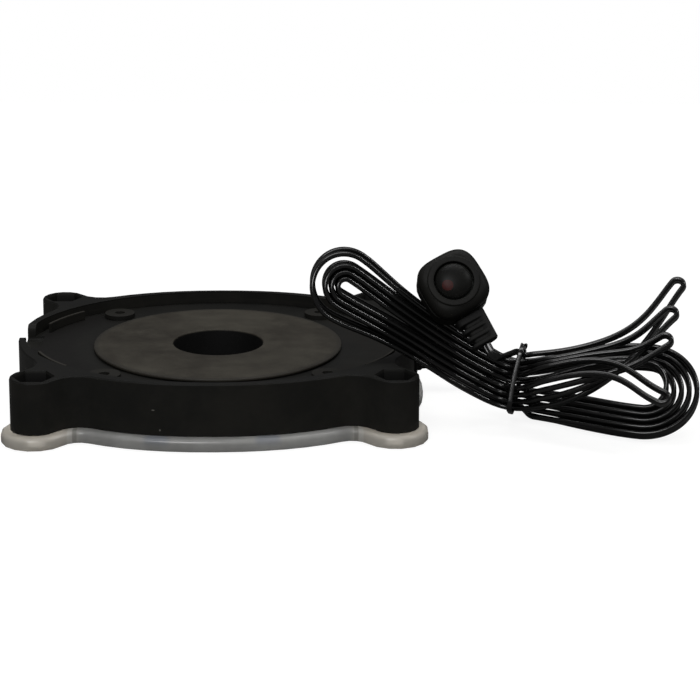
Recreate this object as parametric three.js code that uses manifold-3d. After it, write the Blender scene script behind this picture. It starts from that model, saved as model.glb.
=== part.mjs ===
// A ring-shaped underwater pond light lying on its lens, with a hank of flat twin cord and a dusk sensor.
// Millimetres, +Z up. The origin is on the lens face, at the centre of the through hole.
import * as THREE from "three";
import { mergeVertices } from "three/addons/utils/BufferGeometryUtils.js";
import Module from "manifold-3d";

const wasm = await Module();
wasm.setup();

// Plan of the light
const halfLength = 94; // middle of the side walls
const halfWidth = 80; // middle of the front and back walls
const roundnessShare = 2.2; // exponent of the superellipse of the wall
const bossX = 80;
const bossY = 66.7;
const bossRadius = 10.7;
const valleyRadius = 12; // concave fillet between a boss and the wall
const flangeReach = 4.65; // how far the lens stands proud of the wall
const holeRadius = 21.45;
const discRadius = 59.2;

// Heights and walls
const overallHeight = 30.1;
const lensThickness = 5.8;
const lensWindow = 2.8; // thickness of the lens over the diodes
const floorHeight = 23.9; // top of the recessed floor
const floorThickness = 2.6;
const rimWall = 3; // rim beside the recess
const chamberWall = 6.4; // wall beside the sealed chamber
const clearance = 0.3;
const overrun = 1; // how far a cut runs past the face that it opens
const rimChamfer = 0.6;
const lensRounding = 1.1;
const draft = 0.35; // how much wider the wall is at its foot

// Bolt bosses
const pocketAcrossFlats = 15.7;
const pocketDepth = 9;
const pocketChamfer = 0.8;
const boltHoleRadius = 4.3;

// Screw posts
const postXShare = 0.537; // of half the length
const postYShare = 0.6375; // of half the width
const postRadius = 7.5;
const postRise = 2.3; // above the floor
const postFoot = 9.4; // height of the post's lower end
const screwHeadRadius = 2.3;
const screwHeadHeight = 1.8;
const screwShankRadius = 1.5;
const screwSeat = 13.5; // height of the shoulder under the screw heads
const screwLength = 9.5; // under the head
const headTopShare = 0.8;
const driveShare = 0.4; // of the head's radius, where the recess for the driver starts

// Ribs in the corners of the recess
const ribInset = 3.4;
const ribThickness = 1.1;
const ribDrop = 1.6; // below the rim
const ribStartShare = 0.205; // of a quarter turn
const ribEndShare = 0.43;

// Cable notches in the side walls
const notchWidth = 20;
const notchDepth = 8.4;
const notchRounding = 4;
const notchY = 6.5;

// Centre cover
const coverThickness = 1.5;
const coverChamfer = 0.7;
const sleeveWall = 2;
const tubeWall = 3; // of the housing's centre tube

// Seals
const sealWidth = 2.2;
const sealDepth = 1.8;
const sealInset = 3.4; // middle of the outer seal, inside the wall's outline
const boreSealMargin = 2.2; // from the sleeve to the middle of the bore seal

// Board and diodes
const boardOuter = 60;
const boardThickness = 1.6;
const boardHeight = 14.6; // its underside
const boardMargin = 1.2; // from the centre tube
const ledCount = 24;
const ledCircle = 45;
const ledRadius = 2.5;
const ledFlangeRadius = 2.9;
const ledFlange = 1;
const ledBody = 3.2;
const ledTopShare = 0.8;
const boardPostCircle = 33;
const boardPostRadius = 3;
const boardPostCount = 3;
const boardScrewRadius = 1.1;
const boardScrewHead = 2;
const boardScrewHeadHeight = 1.3;
const boardScrewLength = 6;
const rectifierLength = 8.4;
const rectifierWidth = 6.4;
const rectifierHeight = 2.6;
const rectifierTurn = -38;
const resistorCount = 4;
const resistorCircle = 52;
const resistorRadius = 1.1;
const resistorLength = 6.4;
const legRadius = 0.35;

// Cord and its gland
const cordWidth = 4.5;
const cordThickness = 2.25;
const glandZ = 13.6;
const glandNeck = 4.6;
const glandCollar = 6.8;
const glandCollarThickness = 1.8;
const glandLength = 24;
const glandTip = 3.4;
const glandGrooveCount = 3;
const glandGrooveDepth = 0.7;
const leadRadius = 0.9;
const leadSpread = 2.4;
const leadStraight = 4;

// Hank: loops of cord drawn in at the waist by the tie, the left half rising over the light's rim
const turns = 8.5;
const climbTurns = 0.22; // how much of a turn the climb to the front layer takes
const startTurn = 0.05;
const endTurn = turns - 1 / 24;
const stepsPerTurn = 24;
const waistPitch = 2.93;
const leftPitch = 3;
const rightPitch = 3.2;
const layerPitch = 5.4;
const leftShift = 2.1; // how much lower the front layer lies than the back one in the left half
const rightShift = -1.6; // and in the right half
const leftLean = 16; // of the flat cord in the left half's runs, its top side forward
const rightLean = -24; // and in the right half's open loops, its top side backward
const leftLeanStart = 14; // from the waist
const rightLeanStart = 14;
const leanReach = 26; // length over which it starts to lean
const leanTurnShare = 0.2; // of a turn, round each end, in which it leans over to the other side
const innerRun = 1; // from the middle of the waist to the innermost run
const waistX = 132.5;
const waistY = -38;
const floorGap = 0.85;
const leftLength = 88; // from the waist to the middle of the left end's rounds
const leftRadius = 15;
const leftLateness = 3; // how late the left half opens
const leftLoose = 3.4; // how far the outermost loops stand off the others there
const rightLength = 61.5;
const rightRadius = 22.5;
const bendLength = 5; // how softly the hank bends at the waist
const riseAngle = 33; // of the left half
const yawAngle = -20.5; // of the right half, seen from above
const waistTilt = 68; // of the loops' plane at the waist, from the floor
const endTilt = 47; // of the loops' plane at the right end
const foldCount = 4;
const foldRadius = 2.7;
const foldTips = [[69.5, 47.5], [69, 30], [69, 14], [72, -16]];
const foldAngles = [62, 52, 42, -20];
const foldStraight = 22; // how far a fold's strands follow the waist
const foldEasing = 2; // how far on the other side of the waist they start to step forward
const leavingRise = 1.2;
const foldReach = 34; // of the curve's handle there
const foldBend = 16; // of the curve's handle at the tip
const tipShare = 1 / 12; // of a half turn, on each side of the tip
const straightShare = 1 / 4; // of a strand's steps

// Tie
const tiePlace = 6; // from the bend of the hank
const tieWidth = 3.2;
const tieThickness = 0.9;
const tieMargin = 0.5;
const tieRounding = 4;
const tieKnot = 1.6;

// Free stretches of the cord, by hand
const leadPoints = [
  [127.5, 3.5, 11.8], [132, -5, 9], [136, -15, 6.4], [140, -25, 4.2], [143, -34, 2.8], [145, -41.5, 2.05],
];
const tailPoints = [
  [137.4, -45.4, 33.8], [132.6, -50.6, 34.2], [127.4, -56.2, 34.8],
];
const cordStep = 5.2;
const cordSides = 8;

// Dusk sensor: its place is that of the middle of the joint between its two shells
const sensorX = 107.2;
const sensorY = -42.6;
const sensorZ = 64.2;
const sensorFacing = [-0.05, -0.84, 0.54];
const sensorDown = [0.53, -0.55, -0.8];
const sensorHalf = 14.5;
const sensorCorner = 9.6;
const sensorBackDepth = 9;
const sensorFrontDepth = 8;
const sensorWall = 1.6;
const sensorRounding = 1.8; // round its back
const frontRounding = 4; // round its face
const cavityRadius = 9.4;
const domeRoom = 11;
const domeRadius = 8.3;
const domeRise = 3.2;
const domeWall = 1.2;
const domeGap = 0.7;
const domeFlange = 2;
const ringRadius = 11.8;
const ringStep = 0.9;
const sensorSealThickness = 1;
const sensorSealInset = 0.6;
const cellRadius = 2.6;
const cellHeight = 2.6;
const cellX = -2.6;
const cellY = 0.6;
const reliefLength = 15;
const reliefWidth = 14.6;
const reliefDepth = 8.6;
const reliefTipShare = 0.88;
const reliefRibs = 3;
const reliefGroove = 1;
const reliefNeckWidth = 7.6;
const reliefNeckDepth = 4.6;
const sensorScrewReach = 12.9;
const sensorScrewRadius = 1.1;
const sensorScrewHead = 1.8;
const sensorScrewHeadHeight = 1.3;
const sensorScrewLength = 12.5;

// Materials
const finish = (color, roughness, metalness, opacity) => {
  const settings = { color, roughness, metalness };
  if (opacity) Object.assign(settings, { opacity, transparent: true });
  return new THREE.MeshStandardMaterial(settings);
};
const blackPlastic = finish(0x161614, 0.5, 0);
const greyPlastic = finish(0x383530, 0.55, 0);
const clearPlastic = finish(0xd5d6d2, 0.15, 0, 0.5);
const smokedPlastic = finish(0x17140f, 0.1, 0, 0.7);
const blackRubber = finish(0x1a1a1a, 0.8, 0);
const cordPlastic = finish(0x0c0c0c, 0.3, 0);
const greenBoard = finish(0x1f4a2c, 0.5, 0);
const steel = finish(0x9a9a98, 0.35, 1);
const whiteLens = finish(0xf3efd8, 0.25, 0);
const redCell = finish(0x9c2f22, 0.5, 0);
const tanBody = finish(0xc9a77a, 0.6, 0);

const group = new THREE.Group();
const add = (name, geometry, material) => {
  const mesh = new THREE.Mesh(geometry, material);
  mesh.name = name;
  group.add(mesh);
  return mesh;
};

// Solids
const radians = THREE.MathUtils.degToRad;

function toSolid(geometry) {
  const bare = geometry.clone();
  for (const name of Object.keys(bare.attributes)) if (name !== "position") bare.deleteAttribute(name);
  const merged = mergeVertices(bare);
  return new wasm.Manifold(new wasm.Mesh({
    numProp: 3,
    vertProperties: merged.attributes.position.array,
    triVerts: new Uint32Array(merged.index.array),
  }));
}

function toGeometry(solid) {
  const { vertProperties, triVerts } = solid.getMesh();
  const geometry = new THREE.BufferGeometry();
  geometry.setAttribute("position", new THREE.BufferAttribute(vertProperties, 3));
  geometry.setIndex(new THREE.BufferAttribute(triVerts, 1));
  geometry.computeVertexNormals();
  return geometry;
}

// A closed solid through rings of the same count of points, capped at both ends.
const middleOf = (ring) => ring.reduce((sum, p) => sum.add(p), new THREE.Vector3()).divideScalar(ring.length);
const facing = (ring) => ring.reduce((sum, p, i) =>
  sum.add(p.clone().cross(ring[(i + 1) % ring.length])), new THREE.Vector3()).normalize();
function capOf(ring) {
  const normal = facing(ring);
  const across = ring[0].clone().sub(middleOf(ring)).cross(normal).normalize();
  const side = normal.clone().cross(across);
  const flat = ring.map((p) => new THREE.Vector2(p.dot(across), p.dot(side)));
  return THREE.ShapeUtils.triangulateShape(flat, []);
}
function loft(given) {
  const way = middleOf(given[1]).sub(middleOf(given[0]));
  const rings = facing(given[0]).dot(way) < 0 ? given.map((ring) => ring.toReversed()) : given;
  const count = rings[0].length;
  const index = [];
  for (let k = 0; k + 1 < rings.length; k++) {
    for (let i = 0; i < count; i++) {
      const a = k * count + i;
      const b = k * count + ((i + 1) % count);
      index.push(a, b, b + count, a, b + count, a + count);
    }
  }
  const last = (rings.length - 1) * count;
  for (const [a, b, c] of capOf(rings[0])) index.push(c, b, a);
  for (const [a, b, c] of capOf(rings.at(-1))) index.push(last + a, last + b, last + c);
  const geometry = new THREE.BufferGeometry();
  const positions = rings.flat().flatMap((p) => p.toArray());
  geometry.setAttribute("position", new THREE.Float32BufferAttribute(positions, 3));
  geometry.setIndex(index);
  return toSolid(geometry);
}

const level = (points, z) => points.map((p) => new THREE.Vector3(p.x, p.y, z));
const circle = (x, y, radius, count = 32) => Array.from({ length: count }, (_, i) => {
  const angle = (2 * Math.PI * i) / count;
  return new THREE.Vector2(x + radius * Math.cos(angle), y + radius * Math.sin(angle));
});
const column = (x, y, radius, from, to, count) =>
  loft([level(circle(x, y, radius, count), from), level(circle(x, y, radius, count), to)]);
const cone = (x, y, stations, count) => loft(stations.map(([r, z]) => level(circle(x, y, r, count), z)));
const box = (x0, x1, y0, y1, z0, z1) => {
  const corners = [[x0, y0], [x1, y0], [x1, y1], [x0, y1]].map(([x, y]) => new THREE.Vector2(x, y));
  return loft([level(corners, z0), level(corners, z1)]);
};
const revolve = (profile, count = 32) =>
  new THREE.LatheGeometry(profile.map(([r, z]) => new THREE.Vector2(r, z)), count).rotateX(Math.PI / 2);
const join = (first, ...rest) => rest.reduce((whole, piece) => whole.add(piece), first);
const cut = (first, ...rest) => rest.reduce((whole, piece) => whole.subtract(piece), first);
const corners = [[-1, -1], [1, -1], [1, 1], [-1, 1]];

// Outline of the wall: a superellipse with a round boss at each corner and a concave fillet on both
// sides of it. Each point has its outward normal, so the outline can be offset.
const wallPoint = (angle) => {
  const share = 2 / roundnessShare;
  const x = halfLength * Math.cos(angle) ** share;
  const y = halfWidth * Math.sin(angle) ** share;
  const steepness = roundnessShare - 1;
  const normal = new THREE.Vector2(
    (x / halfLength) ** steepness / halfLength, (y / halfWidth) ** steepness / halfWidth,
  ).normalize();
  return { point: new THREE.Vector2(x, y), normal };
};
const bossCentre = new THREE.Vector2(bossX, bossY);
const filletCentre = ({ point, normal }) => point.clone().addScaledVector(normal, valleyRadius);
function touching(from, to) {
  // The angle at which a circle in the valley touches both the wall and the boss
  let [far, near] = [from, to];
  for (let i = 0; i < 40; i++) {
    const middle = (far + near) / 2;
    const away = filletCentre(wallPoint(middle)).distanceTo(bossCentre) - bossRadius - valleyRadius;
    if (away > 0) far = middle;
    else near = middle;
  }
  return far;
}
const bossAngle = Math.atan2(bossY, bossX);
const firstTouch = touching(0, bossAngle);
const lastTouch = touching(Math.PI / 2, bossAngle);
const arc = (centre, radius, from, to, count, sign) => Array.from({ length: count }, (_, i) => {
  const angle = from + ((to - from) * (i + 1)) / (count + 1);
  const way = new THREE.Vector2(Math.cos(angle), Math.sin(angle));
  return { point: centre.clone().addScaledVector(way, radius), normal: way.multiplyScalar(sign) };
});
function quarterOutline() {
  const run = (from, to, count) =>
    Array.from({ length: count + 1 }, (_, i) => wallPoint(from + ((to - from) * i) / count));
  const f1 = filletCentre(wallPoint(firstTouch));
  const f2 = filletCentre(wallPoint(lastTouch));
  const angleOf = (v) => v.angle();
  const turn = (from, to) => {
    const full = 2 * Math.PI;
    return from + ((((to - from + Math.PI) % full) + full) % full) - Math.PI;
  };
  const start1 = angleOf(wallPoint(firstTouch).normal.clone().negate());
  const end1 = turn(start1, angleOf(bossCentre.clone().sub(f1)));
  const start2 = angleOf(bossCentre.clone().sub(f2));
  const end2 = turn(start2, angleOf(wallPoint(lastTouch).normal.clone().negate()));
  const bossStart = angleOf(f1.clone().sub(bossCentre));
  const bossEnd = bossStart + (((angleOf(f2.clone().sub(bossCentre)) - bossStart) + 4 * Math.PI) % (2 * Math.PI));
  return [
    ...run(0, firstTouch, 5),
    ...arc(f1, valleyRadius, start1, end1, 3, -1),
    ...arc(bossCentre, bossRadius, bossStart, bossEnd, 8, 1),
    ...arc(f2, valleyRadius, start2, end2, 3, -1),
    ...run(lastTouch, Math.PI / 2, 6),
  ];
}
const quarter = quarterOutline();
const mirrored = (signX, signY) => {
  const points = quarter.map(({ point, normal }) => ({
    point: new THREE.Vector2(point.x * signX, point.y * signY),
    normal: new THREE.Vector2(normal.x * signX, normal.y * signY),
  }));
  return signX * signY > 0 ? points : points.reverse();
};
const outlineBase = [mirrored(1, 1), mirrored(-1, 1), mirrored(-1, -1), mirrored(1, -1)]
  .flatMap((part) => part.slice(0, -1));
const outline = (offset) => outlineBase.map(({ point, normal }) => point.clone().addScaledVector(normal, offset));
const oval = (inset, count = 52) => Array.from({ length: count }, (_, i) => {
  const angle = (2 * Math.PI * i) / count;
  return new THREE.Vector2(
    (halfLength - inset) * Math.cos(angle), (halfWidth - inset) * Math.sin(angle),
  );
});

// Back housing
const housingFoot = lensThickness + clearance;
const floorUnderside = floorHeight - floorThickness;
const sleeveRadius = holeRadius + sleeveWall;
const tubeInner = sleeveRadius + clearance;
const tubeOuter = tubeInner + tubeWall;
const postTop = floorHeight + postRise;
const boardTop = boardHeight + boardThickness;
const boardInner = tubeOuter + boardMargin;
const boardPostFoot = boardTop + clearance;
const postPlaces = corners.map(([sx, sy]) => [sx * postXShare * halfLength, sy * postYShare * halfWidth]);
const boardPostPlaces = Array.from({ length: boardPostCount }, (_, i) => {
  const angle = (2 * Math.PI * (i + 1 / 4)) / boardPostCount;
  return [boardPostCircle * Math.cos(angle), boardPostCircle * Math.sin(angle)];
});
const screwPilot = screwShankRadius + clearance;
const sealGroove = (inset, width, from, to) => cut(
  loft([level(outline(width / 2 - inset), from), level(outline(width / 2 - inset), to)]),
  loft([level(outline(-width / 2 - inset), from - overrun), level(outline(-width / 2 - inset), to + overrun)]),
);

function notch(side) {
  // A U-shaped gap through the rim, with rounded lower corners and eased upper ones
  const outer = side * (halfLength + overrun);
  const inner = side * (halfLength - chamberWall - rimWall);
  const [x0, x1] = [Math.min(outer, inner), Math.max(outer, inner)];
  const bottom = overallHeight - notchDepth;
  const half = notchWidth / 2;
  const shape = new THREE.Shape();
  shape.moveTo(notchY - half - notchRounding, overallHeight + overrun);
  shape.lineTo(notchY - half - notchRounding, overallHeight);
  shape.quadraticCurveTo(notchY - half, overallHeight, notchY - half, overallHeight - notchRounding);
  shape.lineTo(notchY - half, bottom + notchRounding / 2);
  shape.quadraticCurveTo(notchY - half, bottom, notchY - half + notchRounding / 2, bottom);
  shape.lineTo(notchY + half - notchRounding / 2, bottom);
  shape.quadraticCurveTo(notchY + half, bottom, notchY + half, bottom + notchRounding / 2);
  shape.lineTo(notchY + half, overallHeight - notchRounding);
  shape.quadraticCurveTo(notchY + half, overallHeight, notchY + half + notchRounding, overallHeight);
  shape.lineTo(notchY + half + notchRounding, overallHeight + overrun);
  const prism = new THREE.ExtrudeGeometry(shape, { depth: x1 - x0, bevelEnabled: false, curveSegments: 5 });
  prism.applyMatrix4(new THREE.Matrix4().makeBasis(
    new THREE.Vector3(0, 1, 0), new THREE.Vector3(0, 0, 1), new THREE.Vector3(1, 0, 0),
  )).translate(x0, 0, 0);
  return toSolid(prism);
}

function cornerRib(signX, signY) {
  // A thin curved rib that follows the recess, a slot's width inside it
  const ribPoint = (share, inset) => {
    const angle = (share * Math.PI) / 2;
    return new THREE.Vector2(
      signX * (halfLength - rimWall - inset) * Math.cos(angle),
      signY * (halfWidth - rimWall - inset) * Math.sin(angle),
    );
  };
  const count = 8;
  const shares = Array.from(
    { length: count + 1 }, (_, i) => ribStartShare + ((ribEndShare - ribStartShare) * i) / count,
  );
  const ring = [
    ...shares.map((share) => ribPoint(share, ribInset)),
    ...shares.toReversed().map((share) => ribPoint(share, ribInset + ribThickness)),
  ];
  return loft([level(ring, floorUnderside), level(ring, overallHeight - ribDrop)]);
}

function hexagon(x, y, acrossFlats) {
  return circle(x, y, acrossFlats / Math.sqrt(3), 6);
}

function makeHousing() {
  let body = loft([
    level(outline(draft), housingFoot),
    level(outline(0), overallHeight - rimChamfer),
    level(outline(-rimChamfer), overallHeight),
  ]);
  const recess = loft([level(oval(rimWall), floorHeight), level(oval(rimWall), overallHeight + overrun)]);
  const chamber = loft([
    level(oval(chamberWall), housingFoot - overrun), level(oval(chamberWall), floorUnderside),
  ]);
  const tube = column(0, 0, tubeOuter, housingFoot, floorUnderside + overrun, 40);
  const posts = postPlaces.map(([x, y]) => column(x, y, postRadius, postFoot, postTop, 20));
  const boardPosts = boardPostPlaces.map(([x, y]) =>
    column(x, y, boardPostRadius, boardPostFoot, floorUnderside + overrun, 12));
  const ribs = corners.map(([sx, sy]) => cornerRib(sx, sy));
  body = cut(body, recess, chamber);
  body = join(body, tube, ...posts, ...boardPosts, ...ribs);
  const inside = loft([level(outline(0), housingFoot), level(outline(0), overallHeight)]);
  body = body.intersect(join(inside, loft([
    level(outline(draft), housingFoot), level(outline(0), overallHeight - rimChamfer),
  ])));
  const bore = column(0, 0, tubeInner, housingFoot - overrun, overallHeight, 40);
  const screwWays = postPlaces.flatMap(([x, y]) => [
    column(x, y, screwHeadRadius + clearance, screwSeat, postTop + overrun, 12),
    column(x, y, screwPilot, postFoot - overrun, screwSeat + overrun, 8),
  ]);
  const boardPilots = boardPostPlaces.map(([x, y]) => column(
    x, y, boardScrewRadius + clearance, boardPostFoot - overrun,
    boardHeight + boardScrewLength + clearance, 8,
  ));
  const pockets = corners.flatMap(([sx, sy]) => {
    const [x, y] = [sx * bossX, sy * bossY];
    const floor = overallHeight - pocketDepth;
    return [
      loft([level(hexagon(x, y, pocketAcrossFlats), floor),
        level(hexagon(x, y, pocketAcrossFlats), overallHeight - pocketChamfer),
        level(hexagon(x, y, pocketAcrossFlats + pocketChamfer), overallHeight),
        level(hexagon(x, y, pocketAcrossFlats + pocketChamfer), overallHeight + overrun)]),
      column(x, y, boltHoleRadius, housingFoot - overrun, floor + overrun, 18),
    ];
  });
  const glandWay = toSolid(revolve([
    [0, halfLength - chamberWall * 2], [glandNeck + clearance, halfLength - chamberWall * 2],
    [glandNeck + clearance, halfLength + chamberWall], [0, halfLength + chamberWall],
  ], 24).rotateY(Math.PI / 2).translate(0, notchY, glandZ));
  return cut(body, bore, ...screwWays, ...boardPilots, ...pockets, glandWay, notch(-1), notch(1));
}
add("back_housing", toGeometry(makeHousing()), blackPlastic);

// Centre cover: a thin raised disc with a sleeve down the middle
const coverFoot = floorHeight + clearance;
const coverTop = coverFoot + coverThickness;
const sleeveFoot = lensThickness + clearance;
add("centre_cover", revolve([
  [holeRadius, sleeveFoot], [sleeveRadius, sleeveFoot], [sleeveRadius, coverFoot], [discRadius, coverFoot],
  [discRadius, coverTop - coverChamfer / 2], [discRadius - coverChamfer / 2, coverTop],
  [holeRadius + coverChamfer, coverTop], [holeRadius, coverTop - coverChamfer], [holeRadius, sleeveFoot],
], 56), greyPlastic);

// Lens: a flange all round, a thinner window over the diodes and four pillars that take the screws
const grooveFloor = lensThickness - sealDepth - clearance;
const boreSealRadius = sleeveRadius + boreSealMargin;
function makeLens() {
  const plate = loft([
    level(outline(flangeReach - lensRounding), 0),
    level(outline(flangeReach - lensRounding * (1 - Math.SQRT1_2)), lensRounding * (1 - Math.SQRT1_2)),
    level(outline(flangeReach), lensRounding),
    level(outline(flangeReach), lensThickness - lensRounding / 2),
    level(outline(flangeReach - lensRounding / 2), lensThickness),
  ]);
  const windowInset = chamberWall + clearance;
  const pocket = cut(
    loft([level(oval(windowInset), lensWindow), level(oval(windowInset), lensThickness + overrun)]),
    column(0, 0, tubeOuter, lensWindow - overrun, lensThickness + 2 * overrun, 40),
  );
  const pillars = postPlaces.map(([x, y]) =>
    cone(x, y, [[postRadius, lensWindow - overrun], [postRadius - overrun, postFoot - clearance]], 16));
  const pilots = postPlaces.map(([x, y]) =>
    column(x, y, screwPilot, screwSeat - screwLength - clearance, postFoot, 8));
  const bolts = corners.map(([sx, sy]) =>
    column(sx * bossX, sy * bossY, boltHoleRadius, -overrun, lensThickness + overrun, 18));
  const boreGroove = toSolid(revolve([
    [boreSealRadius - sealWidth / 2 - clearance, grooveFloor],
    [boreSealRadius + sealWidth / 2 + clearance, grooveFloor],
    [boreSealRadius + sealWidth / 2 + clearance, lensThickness + overrun],
    [boreSealRadius - sealWidth / 2 - clearance, lensThickness + overrun],
    [boreSealRadius - sealWidth / 2 - clearance, grooveFloor],
  ], 40));
  const hole = column(0, 0, holeRadius, -overrun, lensThickness + overrun, 56);
  const groove = sealGroove(sealInset, sealWidth + 2 * clearance, grooveFloor, lensThickness + overrun);
  return cut(join(cut(plate, pocket), ...pillars), ...pilots, ...bolts, boreGroove, hole, groove);
}
add("lens", toGeometry(makeLens()), clearPlastic);

// Seals
const sealFoot = grooveFloor + clearance;
add("outer_seal", toGeometry(sealGroove(sealInset, sealWidth, sealFoot, lensThickness)), blackRubber);
add("bore_seal", revolve([
  [boreSealRadius - sealWidth / 2, sealFoot], [boreSealRadius + sealWidth / 2, sealFoot],
  [boreSealRadius + sealWidth / 2, lensThickness], [boreSealRadius - sealWidth / 2, lensThickness],
  [boreSealRadius - sealWidth / 2, sealFoot],
], 40), blackRubber);

// Lens screws, heads up in the posts
const screw = (headRadius, headHeight, shankRadius, length) => revolve([
  [0, -length], [shankRadius, shankRadius - length], [shankRadius, 0],
  [headRadius, 0], [headRadius, headHeight / 2], [headRadius * headTopShare, headHeight],
  [headRadius * driveShare, headHeight], [0, headHeight / 2],
], 8);
postPlaces.forEach(([x, y], i) => {
  const made = screw(screwHeadRadius, screwHeadHeight, screwShankRadius, screwLength);
  add("lens_screw_" + (i + 1), made.translate(x, y, screwSeat + clearance), steel);
});

// Ring-shaped board under three posts, diodes facing down
function makeBoard() {
  const ring = toSolid(revolve([
    [boardInner, boardHeight], [boardOuter, boardHeight], [boardOuter, boardTop], [boardInner, boardTop],
    [boardInner, boardHeight],
  ], 40));
  const holes = boardPostPlaces.map(([x, y]) =>
    column(x, y, boardScrewRadius + clearance, boardHeight - overrun, boardTop + overrun, 12));
  return cut(ring, ...holes);
}
add("led_board", toGeometry(makeBoard()), greenBoard);
boardPostPlaces.forEach(([x, y], i) => {
  const made = screw(boardScrewHead, boardScrewHeadHeight, boardScrewRadius, boardScrewLength);
  made.rotateX(Math.PI).translate(x, y, boardHeight - clearance);
  add("board_screw_" + (i + 1), made, steel);
});
for (let i = 0; i < ledCount; i++) {
  const angle = (2 * Math.PI * (i + 1 / 2)) / ledCount;
  const made = revolve([
    [0, 0], [ledFlangeRadius, 0], [ledFlangeRadius, ledFlange], [ledRadius, ledFlange],
    [ledRadius, ledFlange + ledBody], [ledRadius / 2, ledFlange + ledBody + ledRadius * ledTopShare],
    [0, ledFlange + ledBody + ledRadius],
  ], 8).rotateX(Math.PI);
  made.translate(ledCircle * Math.cos(angle), ledCircle * Math.sin(angle), boardHeight - clearance);
  add("led_" + (i + 1), made, whiteLens);
}
const rectifierShape = box(
  -rectifierLength / 2, rectifierLength / 2, -rectifierWidth / 2, rectifierWidth / 2,
  boardTop + clearance, boardTop + clearance + rectifierHeight,
);
add("rectifier", toGeometry(rectifierShape).rotateZ(radians(rectifierTurn))
  .translate(ledCircle * Math.cos(radians(rectifierTurn)), ledCircle * Math.sin(radians(rectifierTurn)), 0), blackPlastic);
for (let i = 0; i < resistorCount; i++) {
  const angle = radians(rectifierTurn) + (Math.PI * (i + 1)) / (resistorCount + 1) + Math.PI / 2;
  const half = resistorLength / 2;
  const made = revolve([
    [0, -half], [resistorRadius - legRadius, -half], [resistorRadius, legRadius - half],
    [resistorRadius, half - legRadius], [resistorRadius - legRadius, half], [0, half],
  ], 12).rotateX(Math.PI / 2).rotateZ(angle);
  made.translate(
    resistorCircle * Math.cos(angle), resistorCircle * Math.sin(angle), boardTop + clearance + resistorRadius,
  );
  add("resistor_" + (i + 1), made, tanBody);
}

// Gland: collars on both sides of the wall and a tapered boot with grooves
const ovalReach = (inset, y) => (halfLength - inset) * Math.sqrt(1 - (y / (halfWidth - inset)) ** 2);
const wallOutside = halfLength + draft + clearance;
const wallInside = ovalReach(chamberWall, notchY + glandCollar) - clearance;
function glandProfile() {
  const profile = [
    [0, wallInside - glandCollarThickness], [glandCollar, wallInside - glandCollarThickness],
    [glandCollar, wallInside - clearance], [glandNeck, wallInside - clearance],
    [glandNeck, wallOutside + clearance], [glandCollar, wallOutside + clearance],
    [glandCollar, wallOutside + glandCollarThickness],
  ];
  const start = wallOutside + glandCollarThickness;
  const bootLength = glandLength - glandCollarThickness;
  const grooveShare = 1 / (3 * glandGrooveCount);
  const radiusAt = (share) => glandNeck + (glandTip - glandNeck) * share;
  for (let i = 0; i < glandGrooveCount; i++) {
    const share = (i + 1 / 2) / glandGrooveCount;
    profile.push([radiusAt(share - grooveShare), start + bootLength * (share - grooveShare)]);
    profile.push([radiusAt(share) - glandGrooveDepth, start + bootLength * (share - grooveShare / 2)]);
    profile.push([radiusAt(share) - glandGrooveDepth, start + bootLength * (share + grooveShare / 2)]);
    profile.push([radiusAt(share + grooveShare), start + bootLength * (share + grooveShare)]);
  }
  profile.push([glandTip, wallOutside + glandLength], [0, wallOutside + glandLength]);
  return profile;
}
add("cord_gland", revolve(glandProfile(), 16).rotateY(Math.PI / 2).translate(0, notchY, glandZ), blackRubber);

// Tubes along a path. A frame at each station gives the directions of the section.
const section = (width, thickness, sides) => Array.from({ length: sides }, (_, i) => {
  const angle = (2 * Math.PI * (i + 1 / 2)) / sides;
  return [(thickness / 2) * Math.cos(angle) / Math.cos(Math.PI / sides), (width / 2) * Math.sin(angle)];
});
const tube = (stations, ring) => loft(stations.map(({ place, thin, wide }) => ring.map(([t, w]) =>
  place.clone().addScaledVector(thin, t).addScaledVector(wide, w))));

// Inner leads from the gland to the board
[-1, 1].forEach((side) => {
  const start = wallInside - glandCollarThickness - clearance;
  const curve = new THREE.CatmullRomCurve3([
    new THREE.Vector3(start, notchY + side * leadSpread, glandZ),
    new THREE.Vector3(start - leadStraight, notchY + side * leadSpread, glandZ),
    new THREE.Vector3(boardOuter + leadStraight, notchY + side * leadSpread, boardTop + 2 * leadRadius),
    new THREE.Vector3(boardOuter - leadStraight, notchY + side * leadSpread, boardTop + leadRadius + clearance),
    new THREE.Vector3(boardOuter - 2 * leadStraight, notchY + side * leadSpread, boardTop + leadRadius + clearance),
  ]);
  const shape = new THREE.Shape(circle(0, 0, leadRadius, 8));
  const made = new THREE.ExtrudeGeometry(shape, { steps: 12, bevelEnabled: false, extrudePath: curve });
  add(side < 0 ? "lead_a" : "lead_b", made, side < 0 ? cordPlastic : redCell);
});

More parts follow.
